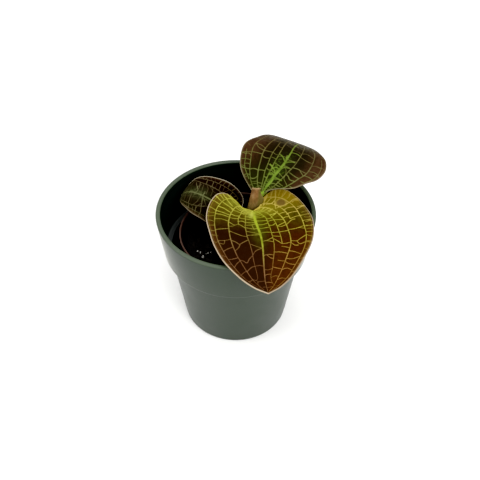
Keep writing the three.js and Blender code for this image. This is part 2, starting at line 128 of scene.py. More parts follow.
# A smooth curve through control points, by share of the way along.
def throughPoints(controls, share):
    controls = np.asarray(controls, float)
    last = len(controls) - 1
    place = np.clip(np.atleast_1d(share), 0, 1) * last
    row = np.clip(np.floor(place).astype(int), 0, last - 1)
    part = (place - row)[:, None]
    padded = np.vstack([2 * controls[0] - controls[1], controls, 2 * controls[-1] - controls[-2]])
    p0, p1, p2, p3 = (padded[row + k] for k in range(4))
    out, into = (p2 - p0) / 2, (p3 - p1) / 2
    cubic = 2 * p1 - 2 * p2 + out + into
    square = 3 * p2 - 3 * p1 - 2 * out - into
    return ((cubic * part + square) * part + out) * part + p1


# Points and faces of a round bar along a smooth route.
def taperedBar(route, radii, steps=60, sides=24):
    shares = np.linspace(0, 1, steps + 1)
    centres = throughPoints(route, shares)
    sizes = np.interp(shares, np.linspace(0, 1, len(radii)), radii)
    tangents = np.gradient(centres, axis=0)
    tangents /= np.linalg.norm(tangents, axis=1)[:, None]
    normal = np.cross(tangents[0], (0.3, 0.9, 0.1))
    points, faces = [], []
    for centre, tangent, size in zip(centres, tangents, sizes):
        normal = normal - tangent * normal.dot(tangent)
        normal /= np.linalg.norm(normal)
        side = np.cross(tangent, normal)
        for k in range(sides):
            angle = 2 * math.pi * k / sides
            points.append(centre + size * (math.cos(angle) * normal + math.sin(angle) * side))
    for i in range(steps):
        for k in range(sides):
            j = (k + 1) % sides
            a, b = i * sides + k, i * sides + j
            faces.append((a, b, b + sides, a + sides))
    faces.append(tuple(reversed(range(sides))))
    faces.append(tuple(range(steps * sides, (steps + 1) * sides)))
    return points, faces


def joined(*parts):
    points, faces = [], []
    for partPoints, partFaces in parts:
        shift = len(points)
        points.extend(partPoints)
        faces.extend(tuple(k + shift for k in face) for face in partFaces)
    return points, faces


# The four corners of every cell in a grid of point numbers.
def cells(grid):
    corners = (grid[:-1, :-1], grid[:-1, 1:], grid[1:, 1:], grid[1:, :-1])
    return np.stack(corners, axis=-1).reshape(-1, 4).tolist()


# A closed body between two equal grids of points.
def shellBetween(outer, inner):
    outer, inner = np.asarray(outer, float), np.asarray(inner, float)
    points = np.vstack([outer.reshape(-1, 3), inner.reshape(-1, 3)])
    half = len(points) // 2
    grid = np.arange(half).reshape(outer.shape[:2])
    faces = []
    for a, b, c, d in cells(grid):
        faces += [(a, b, c, d), (a + half, d + half, c + half, b + half)]
    border = np.concatenate([grid[0], grid[1:, -1], grid[-1, -2::-1], grid[-2:0:-1, 0]]).tolist()
    for a, b in zip(border, border[1:] + border[:1]):
        faces.append((b, a, a + half, b + half))
    return list(points), faces


# A thin wall wrapped about an axis. pointsAt gives its outer and inner point at a share of the
# height and a share of the way round.
def wrapped(rows, columns, pointsAt):
    walls = np.array([[pointsAt(i / rows, j / columns) for j in range(columns + 1)] for i in range(rows + 1)])
    return shellBetween(walls[:, :, 0], walls[:, :, 1])


# Node helpers. An input is linked where its value is another node's output and set where it isn't.

def addNode(tree, kind, inputs=None, **settings):
    node = tree.nodes.new(kind)
    for key, value in settings.items():
        setattr(node, key, value)
    for key, value in (inputs or {}).items():
        if hasattr(value, "is_output"):
            tree.links.new(value, node.inputs[key])
        else:
            node.inputs[key].default_value = value
    return node


def mathNode(tree, operation, first, second=0.5, clamp=False):
    inputs = {0: first, 1: second}
    return addNode(tree, "ShaderNodeMath", inputs, operation=operation, use_clamp=clamp).outputs[0]


def times(tree, first, *others):
    for other in others:
        first = mathNode(tree, "MULTIPLY", first, other)
    return first


# Lays a second colour over a first one, by an amount from 0 to 1.
def mixColour(tree, amount, first, second):
    inputs = {0: amount, 6: first, 7: second}
    return addNode(tree, "ShaderNodeMix", inputs, data_type="RGBA").outputs[2]


def mapRange(tree, value, fromLow, fromHigh, toLow=0.0, toHigh=1.0, smooth=True):
    node = addNode(
        tree, "ShaderNodeMapRange",
        {"Value": value, "From Min": fromLow, "From Max": fromHigh, "To Min": toLow, "To Max": toHigh},
        interpolation_type="SMOOTHSTEP" if smooth else "LINEAR",
    )
    return node.outputs[0]


def maskOf(tree, name):
    return addNode(tree, "ShaderNodeAttribute", attribute_name=name).outputs["Fac"]


# How much light falls on the leaves, and the soft toe of the display curve that sinks deep
# shade to black.
litLevel = 1.68
toe = [(0, 0), (0.012, 0.001), (0.03, 0.012), (0.07, 0.055), (0.14, 0.13), (1, 1)]


# A colour as it looks under the scene's lights, turned into the shader's linear values.
def paint(red, green, blue):
    linear = [
        c / 12.92 if c <= 0.04045 else ((c + 0.055) / 1.055) ** 2.4
        for c in (red / 255, green / 255, blue / 255)
    ]
    raised = np.interp(linear, [high for low, high in toe], [low for low, high in toe])
    return (*(float(c) / litLevel for c in raised), 1.0)


def newGroup(name, inputs, outputs):
    group = bpy.data.node_groups.new(name, "ShaderNodeTree")
    for label, kind, value in inputs:
        socket = group.interface.new_socket(label, in_out="INPUT", socket_type=kind)
        socket.default_value = value
    for label, kind in outputs:
        group.interface.new_socket(label, in_out="OUTPUT", socket_type=kind)
    return group, group.nodes.new("NodeGroupInput").outputs, group.nodes.new("NodeGroupOutput").inputs


def newMaterial(name, **constants):
    material = bpy.data.materials.new(name)
    material.use_nodes = True
    shader = material.node_tree.nodes["Principled BSDF"]
    for key, value in constants.items():
        shader.inputs[key.replace("_", " ")].default_value = value
    return material, material.node_tree, shader


colourSocket, valueSocket, vectorSocket = "NodeSocketColor", "NodeSocketFloat", "NodeSocketVector"


# Fine mottling of a surface, as a mask from 0 to 1.
def buildGrainGroup():
    group, given, result = newGroup(
        "surfaceGrain",
        [("Scale", valueSocket, 500.0), ("Detail", valueSocket, 4.0), ("Stretch", vectorSocket, (1, 1, 1)),
         ("Contrast", valueSocket, 1.0)],
        [("Mask", valueSocket)],
    )
    place = addNode(group, "ShaderNodeTexCoord").outputs["Object"]
    stretched = addNode(group, "ShaderNodeVectorMath", {0: place, 1: given["Stretch"]}, operation="MULTIPLY")
    specks = addNode(group, "ShaderNodeTexNoise", {
        "Vector": stretched.outputs[0], "Scale": given["Scale"], "Detail": given["Detail"], "Roughness": 0.6,
    })
    spread = times(group, mathNode(group, "SUBTRACT", specks.outputs[0], 0.5), given["Contrast"])
    group.links.new(mathNode(group, "ADD", spread, 0.5, clamp=True), result["Mask"])
    return group


grainGroup = buildGrainGroup()


def grain(tree, scale, contrast=1.0, detail=4.0, stretch=(1, 1, 1)):
    inputs = {"Scale": scale, "Contrast": contrast, "Detail": detail, "Stretch": stretch}
    return addNode(tree, "ShaderNodeGroup", inputs, node_tree=grainGroup).outputs["Mask"]


def addBump(tree, shader, height, distance, strength):
    bump = addNode(tree, "ShaderNodeBump", {"Height": height, "Distance": distance, "Strength": strength})
    tree.links.new(bump.outputs[0], shader.inputs["Normal"])


# Finishes a material whose roughness and bumps follow one mask. rough is the range of the mask
# and the range of roughness, bump the distance and the strength.
def finishSkin(tree, shader, tone, mask, rough, bump=None):
    tree.links.new(tone, shader.inputs["Base Color"])
    tree.links.new(mapRange(tree, mask, *rough), shader.inputs["Roughness"])
    if bump:
        addBump(tree, shader, mask, *bump)


# Camera, light and floor

viewSetup = {
    "target": (0, 0, 45),
    "distance": 500,
    "elevation": 46.54,
    "turns": (-0.0057, 0.025, -0.004),
    "lens": 55.575,
    "sensor": 36,
}


def placeCamera():
    elevation = math.radians(viewSetup["elevation"])
    forward = Vector((0, math.cos(elevation), -math.sin(elevation)))
    right = Vector((1, 0, 0))
    upward = right.cross(forward)
    place = (Vector(viewSetup["target"]) - forward * viewSetup["distance"]) * mm
    pan, tilt, roll = viewSetup["turns"]
    turn = Matrix.Rotation(pan, 3, upward)
    forward, right = turn @ forward, turn @ right
    turn = Matrix.Rotation(tilt, 3, right)
    forward, upward = turn @ forward, turn @ upward
    turn = Matrix.Rotation(roll, 3, forward)
    right, upward = turn @ right, turn @ upward
    camera = bpy.data.objects.new("viewCamera", bpy.data.cameras.new("viewCamera"))
    camera.data.lens = viewSetup["lens"]
    camera.data.sensor_width = viewSetup["sensor"]
    camera.data.clip_start = 0.01
    axes = Matrix((right, upward, -forward)).transposed()
    camera.matrix_world = Matrix.Translation(place) @ axes.to_4x4()
    bpy.context.scene.collection.objects.link(camera)
    bpy.context.scene.camera = camera


lightSetup = {
    "worldStrength": 0.55,
    "worldTint": (1, 0.997, 0.985),
    "aim": (0, 0, 0.06),
    "softboxes": [
        # name, place, size and power, in metres and watts
        ("overheadSoftbox", (-0.15, 0.1, 1.1), 1.4, 9.0),
        ("leftSoftbox", (-1.1, -0.3, 0.7), 0.8, 5.0),
        ("rightSoftbox", (1.1, -0.1, 0.7), 0.8, 3.0),
        ("frontSoftbox", (0.4, -0.87, 0.87), 0.9, 13.0),
    ],
}


# A plain display transform with a soft toe, so that deep shade goes to black.
def setTones():
    view = bpy.context.scene.view_settings
    view.view_transform = "Standard"
    view.use_curve_mapping = True
    curve = view.curve_mapping.curves[3]
    for low, high in toe[1:-1]:
        curve.points.new(low, high)
    view.curve_mapping.update()


def placeLights():
    world = bpy.data.worlds.new("studio")
    bpy.context.scene.world = world
    world.use_nodes = True
    background = world.node_tree.nodes["Background"]
    background.inputs["Color"].default_value = (*lightSetup["worldTint"], 1)
    background.inputs["Strength"].default_value = lightSetup["worldStrength"]
    for name, place, size, power in lightSetup["softboxes"]:
        lamp = bpy.data.lights.new(name, "AREA")
        lamp.shape = "SQUARE"
        lamp.size = size
        lamp.energy = power
        holder = bpy.data.objects.new(name, lamp)
        holder.location = place
        aim = Vector(lightSetup["aim"]) - Vector(place)
        holder.rotation_euler = aim.to_track_quat("-Z", "Y").to_euler()
        bpy.context.scene.collection.objects.link(holder)


floorLook = {
    "reach": 4.0,
    "pale": (0.9, 0.9, 0.892, 1),
    "shade": (0.88, 0.88, 0.87, 1),
}


def layFloor():
    reach = floorLook["reach"]
    corners = [(-reach, -reach, 0), (reach, -reach, 0), (reach, reach, 0), (-reach, reach, 0)]
    mesh = bpy.data.meshes.new("studioFloor")
    mesh.from_pydata(corners, [], [(0, 1, 2, 3)])
    material, tree, shader = newMaterial("floorPaint", Roughness=0.9)
    tone = mixColour(tree, grain(tree, 30.0, 0.6), floorLook["shade"], floorLook["pale"])
    tree.links.new(tone, shader.inputs["Base Color"])
    mesh.materials.append(material)
    floor = bpy.data.objects.new("studioFloor", mesh)
    bpy.context.scene.collection.objects.link(floor)


setTones()
placeCamera()
placeLights()
layFloor()
print("view, light and floor placed")


# Nursery pot and inner pot
#
# Corners hold radius, height and rounding, from the base's middle up the outside, over the rim
# and down the inside. The outside holds radius and height up to the band's foot and on to the rim.

potLook = {
    "name": "nurseryPot",
    "skin": "greenPlastic",
    "slot": "nursery_pot",
    "node": "pot",
    "corners": [
        (0, 0, 0), (34.95, 0, 1.8), (43.4, 58.9, 0.5), (46.9, 58.9, 0.8), (50.95, 89.5, 1.6),
        (47.75, 89.5, 1.3), (47.95, 85.4, 0.8), (48.75, 85.2, 0.5), (45.4, 60.6, 1.1), (41.75, 60.6, 0.8),
        (33.45, 2, 1.2), (0, 2, 0),
    ],
    "cornerSteps": 6,
    "sides": 176,
    "outside": [(34.95, 0), (43.4, 58.89), (46.9, 58.9), (50.95, 89.5)],
    "wall": 1.2,
    "ledgeHeights": (60.3, 61),
    "drains": {"count": 6, "ring": 24, "radius": 4, "height": 1},
    "body": paint(34, 54, 32),
    "worn": paint(44, 64, 40),
    "dust": paint(110, 120, 96),
    # painted highlight: the lip is painted lighter where the rim faces the light
    "lip": paint(82, 96, 74),
    # painted shade: the inner walls are painted near black
    "inside": paint(12, 26, 20),
    # painted highlight: a pale tone painted on the ledge inside
    "ledge": paint(66, 70, 68),
    "roughness": 0.3,
    "pebble": 2600.0,
    # painted reflection: a pale sheen painted on where the band is seen edge on, and how fast it falls off
    "paintedEdgeSheen": 1.3,
    "paintedEdgeSheenMost": 0.75,
    "paintedEdgeSheenFall": 9.0,
    "paintedEdgeSheenTone": paint(225, 225, 216),
}
innerLook = {
    "name": "innerPot",
    "skin": "terracottaPlastic",
    "slot": "inner_pot",
    "node": "inner_pot",
    "corners": [
        (0, 2, 0), (26.0, 2, 0.9), (36.25, 66, 0.5), (38.5, 66.2, 0.6), (38.65, 70, 0.6),
        (37.4, 70, 0.4), (36.9, 66.3, 0.9), (35.3, 64.8, 0.6), (25.55, 3.2, 0.8), (0, 3.2, 0),
    ],
    "cornerSteps": 5,
    "sides": 144,
    "outside": [(26, 2), (36, 64.5), (38.5, 64.6), (38.65, 70)],
    "wall": 0.6,
    "ledgeHeights": (0, 0),
    "drains": {"count": 5, "ring": 15, "radius": 3, "height": 2.6},
    "body": paint(88, 58, 46),
    "worn": paint(104, 72, 58),
    "dust": paint(140, 112, 96),
    # painted highlight: the lip is painted lighter where the rim faces the light
    "lip": paint(96, 70, 58),
    # painted shade: the inner walls are painted near black
    "inside": paint(12, 5, 4),
    "ledge": paint(12, 5, 4),
    "roughness": 0.5,
    "pebble": 2200.0,
    "paintedEdgeSheen": 0.0,
    "paintedEdgeSheenMost": 0.75,
    "paintedEdgeSheenFall": 9.0,
    "paintedEdgeSheenTone": paint(225, 225, 216),
}
# The inner pot and all that is in it stand a little off the nursery pot's axis.
innerPlace = (1.6, 1.0, 0)


def plasticMaterial(look):
    material, tree, shader = newMaterial(look["skin"], Specular_IOR_Level=0.28)
    cloudy = grain(tree, 60.0, 1.4, 5.0)
    scuffs = mapRange(tree, grain(tree, 420.0, 1.6, 6.0, (1, 1, 0.6)), 0.66, 0.9)
    tone = mixColour(tree, times(tree, cloudy, 0.35), look["body"], look["worn"])
    tone = mixColour(tree, times(tree, scuffs, 0.12), tone, look["dust"])
    # painted reflection: a pale tone painted on the band where it is seen edge on
    facing = addNode(tree, "ShaderNodeLayerWeight", {"Blend": 0.5}).outputs["Facing"]
    paintedEdgeSheen = mathNode(tree, "POWER", facing, look["paintedEdgeSheenFall"])
    paintedEdgeSheen = mathNode(tree, "MINIMUM", times(tree, paintedEdgeSheen, maskOf(tree, "band"), look["paintedEdgeSheen"]), look["paintedEdgeSheenMost"])
    tone = mixColour(tree, paintedEdgeSheen, tone, look["paintedEdgeSheenTone"])
    # The lip is painted lighter as a painted highlight, the inner walls near black as painted shade and the
    # ledge pale as a painted highlight.
    for part in ("lip", "inside", "ledge"):
        tone = mixColour(tree, maskOf(tree, part), tone, look[part])
    tree.links.new(tone, shader.inputs["Base Color"])
    rough = mathNode(tree, "ADD", times(tree, cloudy, 0.12), look["roughness"])
    tree.links.new(rough, shader.inputs["Roughness"])
    addBump(tree, shader, grain(tree, look["pebble"], 1.0, 3.0), 0.00008, 0.35)
    return material


# Drills a ring of round holes through a turned body's floor.
def drillFloor(piece, drains):
    low, high = drains["height"] - 4, drains["height"] + 4
    pin, pinFaces = turned([(0, low), (drains["radius"], low), (drains["radius"], high), (0, high)], 40)
    pins = []
    for k in range(drains["count"]):
        place = drains["ring"] * rayAt((k + 0.5) / drains["count"] * 2 * math.pi)
        pins.append(([np.array(point) + place for point in pin], pinFaces))
    cutPoints, cutFaces = joined(*pins)
    mesh = bpy.data.meshes.new("drill")
    mesh.from_pydata([tuple(point * mm) for point in cutPoints], [], cutFaces)
    drill = bpy.data.objects.new("drill", mesh)
    bpy.context.scene.collection.objects.link(drill)
    cut = piece.modifiers.new("drains", "BOOLEAN")
    cut.operation = "DIFFERENCE"
    cut.solver = "EXACT"
    cut.object = drill
    shaped = bpy.data.meshes.new_from_object(piece.evaluated_get(bpy.context.evaluated_depsgraph_get()))
    piece.modifiers.clear()
    old = piece.data
    shaped.name = old.name
    piece.data = shaped
    bpy.data.meshes.remove(old)
    bpy.data.objects.remove(drill)
    bpy.data.meshes.remove(mesh)
    piece.data.shade_smooth()
    piece.data.set_sharp_from_angle(angle=math.radians(40))


# Marks the inner walls up to a little below the rim, painted near black as painted shade, the lip,
# painted lighter as a painted highlight, the wide band under it and a ledge between two heights,
# painted pale as a painted highlight.
def markInside(piece, look):
    radii, heights = zip(*look["outside"])
    lipFoot, bandFoot = heights[-1] - 1, heights[2] - 0.1
    places = np.array([tuple(vert.co) for vert in piece.data.vertices]) / mm
    depth = np.interp(places[:, 2], heights, radii) - np.hypot(places[:, 0], places[:, 1])
    inside = (depth > look["wall"]) & (places[:, 2] < lipFoot)
    onLedge = (places[:, 2] > look["ledgeHeights"][0]) & (places[:, 2] < look["ledgeHeights"][1])
    setMask(piece, "inside", inside)
    setMask(piece, "ledge", inside & onLedge)
    setMask(piece, "lip", places[:, 2] > lipFoot)
    setMask(piece, "band", ~inside & (places[:, 2] > bandFoot))


def makePot(look):
    points, faces = turned(roundedOutline(look["corners"], look["cornerSteps"]), look["sides"])
    pot = makePiece(look["name"], points, faces, [plasticMaterial(look)], [look["node"]])
    drillFloor(pot, look["drains"])
    markInside(pot, look)
    return pot


def standInside(piece):
    piece.data.transform(Matrix.Translation(Vector(innerPlace) * mm))


makePot(potLook)
standInside(makePot(innerLook))
print("pots made")


# Potting mix, bark, perlite and moss

mixLook = {
    "level": 61,
    "edge": 33.9,
    "relief": 0.9,
    "rings": 110,
    "sides": 260,
    # radius and height of the two rings under the top's edge
    "skirt": [(34.0, 58.5), (25.3, 3.6)],
    "seed": 8,
    "dark": paint(6, 4, 3),
    "brown": paint(24, 16, 11),
    "barkCount": 330,
    "barkLight": paint(34, 23, 16),
    "fibreCount": 70,
    "fibreDark": paint(16, 10, 7),
    "fibreLight": paint(56, 38, 26),
    "fibreRadii": [0.07, 0.12, 0.1, 0.06],
    "perlite": paint(255, 253, 246),
    "perliteShade": paint(190, 184, 172),
    "perliteSpots": [
        # x, y, size
        (-22.8, -14.7, 1.05), (-26.4, -10.8, 0.6), (-24.3, -12.0, 0.6), (-19.7, -10.8, 0.7),
        (-17.9, -9.2, 0.55), (-20.8, -12.2, 0.35), (-15.9, -4.6, 0.6),
    ],
    "perliteStrays": 46,
    "stemSpot": (7.3, 2.4),
}


def mixHeight(x, y):
    lumps = (
        np.sin(0.34 * x + 1.3) * np.cos(0.31 * y - 0.4)
        + 0.6 * np.sin(0.42 * x - 0.33 * y + 2.1)
        + 0.4 * np.cos(0.52 * y + 0.25 * x)
    )
    calm = 1 - (np.hypot(x, y) / mixLook["edge"]) ** 6
    return mixLook["level"] + mixLook["relief"] * lumps * calm


def crumble(x, y):
    spot = Vector((x, y, 0))
    coarse = noise.fractal(spot * 0.45, 0.9, 2.1, 3)
    fine = noise.cell(spot * 0.9) * 0.35 + noise.noise(spot * 2.3) * 0.45
    return 0.75 * coarse + 0.6 * fine


def onMix(x, y):
    return float(mixHeight(x, y)) + crumble(x, y)


def besideStem(x, y, gap):
    return math.hypot(x - mixLook["stemSpot"][0], y - mixLook["stemSpot"][1]) < gap


# A random spot within a distance of the middle.
def scattered(rng, reach):
    distance, angle = reach * math.sqrt(rng.uniform()), rng.uniform(0, 2 * math.pi)
    return distance * math.cos(angle), distance * math.sin(angle)


def lump(rng, centre, size, squash, roughness, detail):
    ball = bmesh.new()
    bmesh.ops.create_icosphere(ball, subdivisions=detail, radius=1)
    seed = Vector(rng.uniform(-50, 50, 3))
    turn = Matrix.Rotation(rng.uniform(0, 6.28), 3, "Z") @ Matrix.Rotation(rng.uniform(-0.9, 0.9), 3, "X")
    points = []
    for vert in ball.verts:
        swell = 1 + roughness * noise.noise(vert.co * 1.7 + seed)
        swell += 0.4 * roughness * noise.noise(vert.co * 4 + seed)
        local = Vector((vert.co.x * squash[0], vert.co.y * squash[1], vert.co.z * squash[2]))
        points.append(np.array(centre) + np.array(turn @ (local * swell * size)))
    faces = [tuple(v.index for v in face.verts) for face in ball.faces]
    ball.free()
    return points, faces


# Lays a loose part of the mix, of several lumps or bars, in the inner pot.
def layLoose(name, parts, material, smoothAngle):
    points, faces = joined(*parts)
    standInside(makePiece(name, points, faces, [material], (), smoothAngle))


def makeMix():
    material, tree, shader = newMaterial("pottingMix", Specular_IOR_Level=0.25)
    patches = grain(tree, 420.0, 1.8, 6.0)
    tone = mixColour(tree, mapRange(tree, patches, 0.45, 0.8), mixLook["dark"], mixLook["brown"])
    finishSkin(tree, shader, tone, patches, (0.2, 0.8, 0.7, 0.98))
    addBump(tree, shader, grain(tree, 1500.0, 1.5, 6.0), 0.0005, 0.9)

    rings, sides, edge = mixLook["rings"], mixLook["sides"], mixLook["edge"]
    rays = [rayAt(2 * math.pi * k / sides) for k in range(sides)]
    points = [(0, 0, onMix(0, 0))]
    for i in range(1, rings + 1):
        calm = float(smoothStep(1.0, 0.96, i / rings))
        for ray in rays:
            x, y = (edge * i / rings * ray)[:2]
            points.append((x, y, float(mixHeight(x, y)) + crumble(x, y) * calm))
    for radius, height in mixLook["skirt"]:
        points += [ray * radius + up * height for ray in rays]
    faces = [(0, 1 + k, 1 + (k + 1) % sides) for k in range(sides)]
    for low in range(1, len(points) - sides, sides):
        for k in range(sides):
            j = (k + 1) % sides
            faces.append((low + k, low + sides + k, low + sides + j, low + j))
    faces.append(tuple(reversed(range(len(points) - sides, len(points)))))
    standInside(makePiece("pottingMix", points, faces, [material], ["soil"], 180))


def scatterBark(rng):
    chips = []
    for _ in range(mixLook["barkCount"]):
        x, y = scattered(rng, mixLook["edge"] - 2.5)
        size = rng.uniform(0.5, 1.7)
        squash = (rng.uniform(0.8, 1.6), rng.uniform(0.5, 0.9), rng.uniform(0.3, 0.6))
        if not besideStem(x, y, 4.5):
            chips.append(lump(rng, (x, y, onMix(x, y) + 0.1), size, squash, 0.6, 2))
    material, tree, shader = newMaterial("barkCrumbs", Specular_IOR_Level=0.3)
    bands = grain(tree, 700.0, 1.8, 5.0, (1, 1, 3))
    tone = mixColour(tree, bands, mixLook["dark"], mixLook["barkLight"])
    finishSkin(tree, shader, tone, bands, (0.2, 0.8, 0.65, 0.95), (0.0003, 0.8))
    layLoose("barkCrumbs", chips, material, 50)


# A few grains lie where they are easily seen, and strays lie under the leaves and behind them.
def scatterPerlite(rng):
    spots = list(mixLook["perliteSpots"])
    for _ in range(mixLook["perliteStrays"]):
        x, y = scattered(rng, mixLook["edge"] - 3)
        inView = x < -4 and y < 14
        if not inView and not besideStem(x, y, 4.5):
            spots.append((x, y, rng.uniform(0.35, 1.1)))
    grains = []
    for x, y, size in spots:
        squash = (rng.uniform(0.85, 1.15), rng.uniform(0.75, 1.0), rng.uniform(0.6, 0.9))
        grains.append(lump(rng, (x, y, onMix(x, y) + 0.35 * size), size, squash, 0.55, 3))
    material, tree, shader = newMaterial("perlite", Specular_IOR_Level=0.3)
    pores = grain(tree, 1800.0, 1.6, 5.0)
    tone = mixColour(tree, mapRange(tree, pores, 0.25, 0.6), mixLook["perliteShade"], mixLook["perlite"])
    finishSkin(tree, shader, tone, pores, (0, 1, 0.75, 0.95), (0.0002, 0.7))
    layLoose("perliteGrains", grains, material, 60)


def scatterMoss(rng):
    edge, bends = mixLook["edge"], 5
    fibres = []
    for _ in range(mixLook["fibreCount"]):
        x, y = scattered(rng, edge - 5)
        heading, length = rng.uniform(0, 2 * math.pi), rng.uniform(3, 7)
        route = []
        for k in range(bends):
            heading += rng.uniform(-0.5, 0.5)
            x += math.cos(heading) * length / bends
            y += math.sin(heading) * length / bends
            if math.hypot(x, y) > edge - 1.5:
                break
            route.append((x, y, onMix(x, y) + rng.uniform(0.1, 0.6)))
        if len(route) == bends and not any(besideStem(x, y, 4) for x, y, z in route):
            fibres.append(taperedBar(route, mixLook["fibreRadii"], 14, 6))
    material, tree, shader = newMaterial("mossFibres", Roughness=0.85)
    tone = mixColour(tree, grain(tree, 300.0, 1.5), mixLook["fibreDark"], mixLook["fibreLight"])
    tree.links.new(tone, shader.inputs["Base Color"])
    layLoose("mossFibres", fibres, material, 180)


makeMix()
looseDraws = np.random.default_rng(mixLook["seed"])
scatterBark(looseDraws)
scatterPerlite(looseDraws)
scatterMoss(looseDraws)
print("potting mix made")


# Stem and withered sheath

stemLook = {
    "foot": (8.2, 4.6, 48.0),
    "crown": (10.6, 0.8, 89.5),
    "length": 42.3,
    "footRadius": 2.4,
    "topRadius": 1.8,
    "joints": [19, 26, 33, 39],
    "green": paint(104, 124, 48),
    "brown": paint(110, 74, 44),
}
sheathLook = {
    "foot": (10.45, 1.05, 86.8),
    "top": (12.6, 1.1, 107.2),
    "footRadius": 4.0,
    "topRadius": 2.55,
    "flatness": 0.6,
    "wall": 0.45,
    # where the middle of the sheath faces and how far it reaches round, in degrees
    "middle": -100,
    "span": 190,
    # the fold that stands out beside the petiole: reach, height, spread and start round
    "wing": (3.0, 0.52, 0.25, 0.74),
    "torn": 0.9,
    "rows": 90,
    "columns": 150,
    "tan": paint(192, 138, 80),
    "dark": paint(116, 76, 38),
    "pale": paint(206, 166, 112),
    "olive": paint(122, 110, 42),
    "fringe": paint(212, 178, 124),
    "greenHeights": (0.104, 0.089),
}
# How far light sinks into the stem and the petioles, for red, green and blue.
fleshDepth = (0.002, 0.002, 0.001)


# Carries points from beside the upright axis to their place along the leaning stem.
def alongStem(points):
    foot, crown = Vector(stemLook["foot"]), Vector(stemLook["crown"])
    turn = Vector((0, 0, 1)).rotation_difference(crown - foot).to_matrix()
    return [np.array(turn @ Vector(point)) + stemLook["foot"] for point in points]


def makeStem():
    length, topRadius = stemLook["length"], stemLook["topRadius"]
    outline = [(0, 0), (stemLook["footRadius"], 0)]
    for distance in np.linspace(0.5, length - 0.3, 130):
        radius = mixed(stemLook["footRadius"], topRadius, distance / length)
        for joint in stemLook["joints"]:
            radius += 0.2 * math.exp(-((distance - joint + 0.3) / 0.35) ** 2)
            radius -= 0.08 * math.exp(-((distance - joint - 0.6) / 0.5) ** 2)
        outline.append((radius, distance))
    outline += [(topRadius - 0.4, length), (0, length)]
    points, faces = turned(outline, 40)
    material, tree, shader = newMaterial("stemSkin", Specular_IOR_Level=0.5, Subsurface_Weight=0.08)
    shader.inputs["Subsurface Radius"].default_value = fleshDepth
    streaks = grain(tree, 500.0, 1.6, 5.0, (1, 1, 0.15))
    tone = mixColour(tree, mapRange(tree, streaks, 0.4, 0.85), stemLook["green"], stemLook["brown"])
    finishSkin(tree, shader, tone, streaks, (0, 1, 0.35, 0.6), (0.0002, 0.5))
    makePiece("orchidStem", alongStem(points), faces, [material], ["stem"], 60)


def sheathMaterial():
    material, tree, shader = newMaterial("driedSheath", Specular_IOR_Level=0.3)
    fibres = grain(tree, 900.0, 2.4, 5.0, (1, 1, 0.12))
    patches = grain(tree, 420.0, 2.2, 4.0, (1, 1, 0.6))
    turn = maskOf(tree, "turn")
    place = addNode(tree, "ShaderNodeTexCoord").outputs["Object"]
    height = addNode(tree, "ShaderNodeSeparateXYZ", {"Vector": place}).outputs["Z"]
    tone = mixColour(tree, fibres, sheathLook["dark"], sheathLook["tan"])
    layers = [
        (mapRange(tree, patches, 0.45, 0.9, 0.0, 0.6), "pale"),
        (mapRange(tree, patches, 0.42, 0.15, 0.0, 0.6), "dark"),
        # painted shade: the sheath's left side is painted darker
        (mapRange(tree, turn, 0.42, 0.1, 0.0, 0.5), "dark"),
        (mapRange(tree, height, *sheathLook["greenHeights"], 0.0, 0.75), "olive"),
        (mapRange(tree, turn, 0.68, 0.84, 0.0, 0.85), "olive"),
        (times(tree, maskOf(tree, "fringe"), 0.8), "fringe"),
    ]
    for amount, layer in layers:
        tone = mixColour(tree, amount, tone, sheathLook[layer])
    finishSkin(tree, shader, tone, fibres, (0, 1, 0.6, 0.9), (0.0004, 0.8))
    return material


def makeSheath():
    foot, top = np.array(sheathLook["foot"]), np.array(sheathLook["top"])
    wingReach, wingHeight, wingSpread, wingStart = sheathLook["wing"]

    def wallAt(share, turn):
        angle = math.radians(sheathLook["middle"] + sheathLook["span"] * (turn - 0.5))
        ray = rayAt(angle, sheathLook["flatness"])
        radius = mixed(sheathLook["footRadius"], sheathLook["topRadius"], share ** 0.8)
        ribs = 0.07 * math.sin(9 * angle) + 0.045 * math.sin(46 * angle + 2 * math.sin(3 * share))
        crumple = 0.1 * noise.noise(Vector((angle * 3, share * 5, 0)))
        curl = -0.25 * float(smoothStep(0.85, 1.0, 2 * abs(turn - 0.5)))
        wing = wingReach * math.exp(-((share - wingHeight) / wingSpread) ** 2)
        reach = radius + ribs + crumple + curl + wing * float(smoothStep(wingStart, 1.0, turn))
        torn = sheathLook["torn"] * max(0, -math.sin(angle)) + 0.25 * noise.noise(Vector((angle * 9, 3, 1)))
        centre = foot + (top - foot) * share + up * torn * float(smoothStep(0.8, 1.0, share))
        return centre + ray * reach, centre + ray * (reach - sheathLook["wall"])

    rows, columns = sheathLook["rows"], sheathLook["columns"]
    points, faces = wrapped(rows, columns, wallAt)
    piece = makePiece("driedSheath", points, faces, [sheathMaterial()], ["sheath"], 60)
    share, turn = np.meshgrid(np.arange(rows + 1) / rows, np.arange(columns + 1) / columns, indexing="ij")
    fringe = np.maximum(smoothStep(0.93, 1.0, share), smoothStep(0.94, 1.0, 2 * np.abs(turn - 0.5)))
    setMask(piece, "fringe", np.tile(fringe.ravel(), 2))
    setMask(piece, "turn", np.tile(turn.ravel(), 2))


makeStem()
makeSheath()
print("stem and sheath made")
# Leaves
#
# A blade is laid out flat, u from the petiole joint to the tip and v across it, then bent over
# its midrib. Rows hold midrib u, v, left edge u, v and right edge u, v. A place on it is also
# given as a row number, from 0 at the joint to 12 at the tip, and a share of the way across,
# from -1 at the right edge to 1 at the left.

def flatPlace(leaf, s, t):
    rows = throughPoints(leaf["rows"], np.ravel(s)).reshape(np.shape(s) + (6,))
    share = np.abs(t)
    edgeU = np.where(t > 0, rows[..., 2], rows[..., 4])
    edgeV = np.where(t > 0, rows[..., 3], rows[..., 5])
    hook = 2 - smoothStep(0.3, 0.75, s)
    return mixed(rows[..., 0], edgeU, share ** hook), mixed(rows[..., 1], edgeV, share)


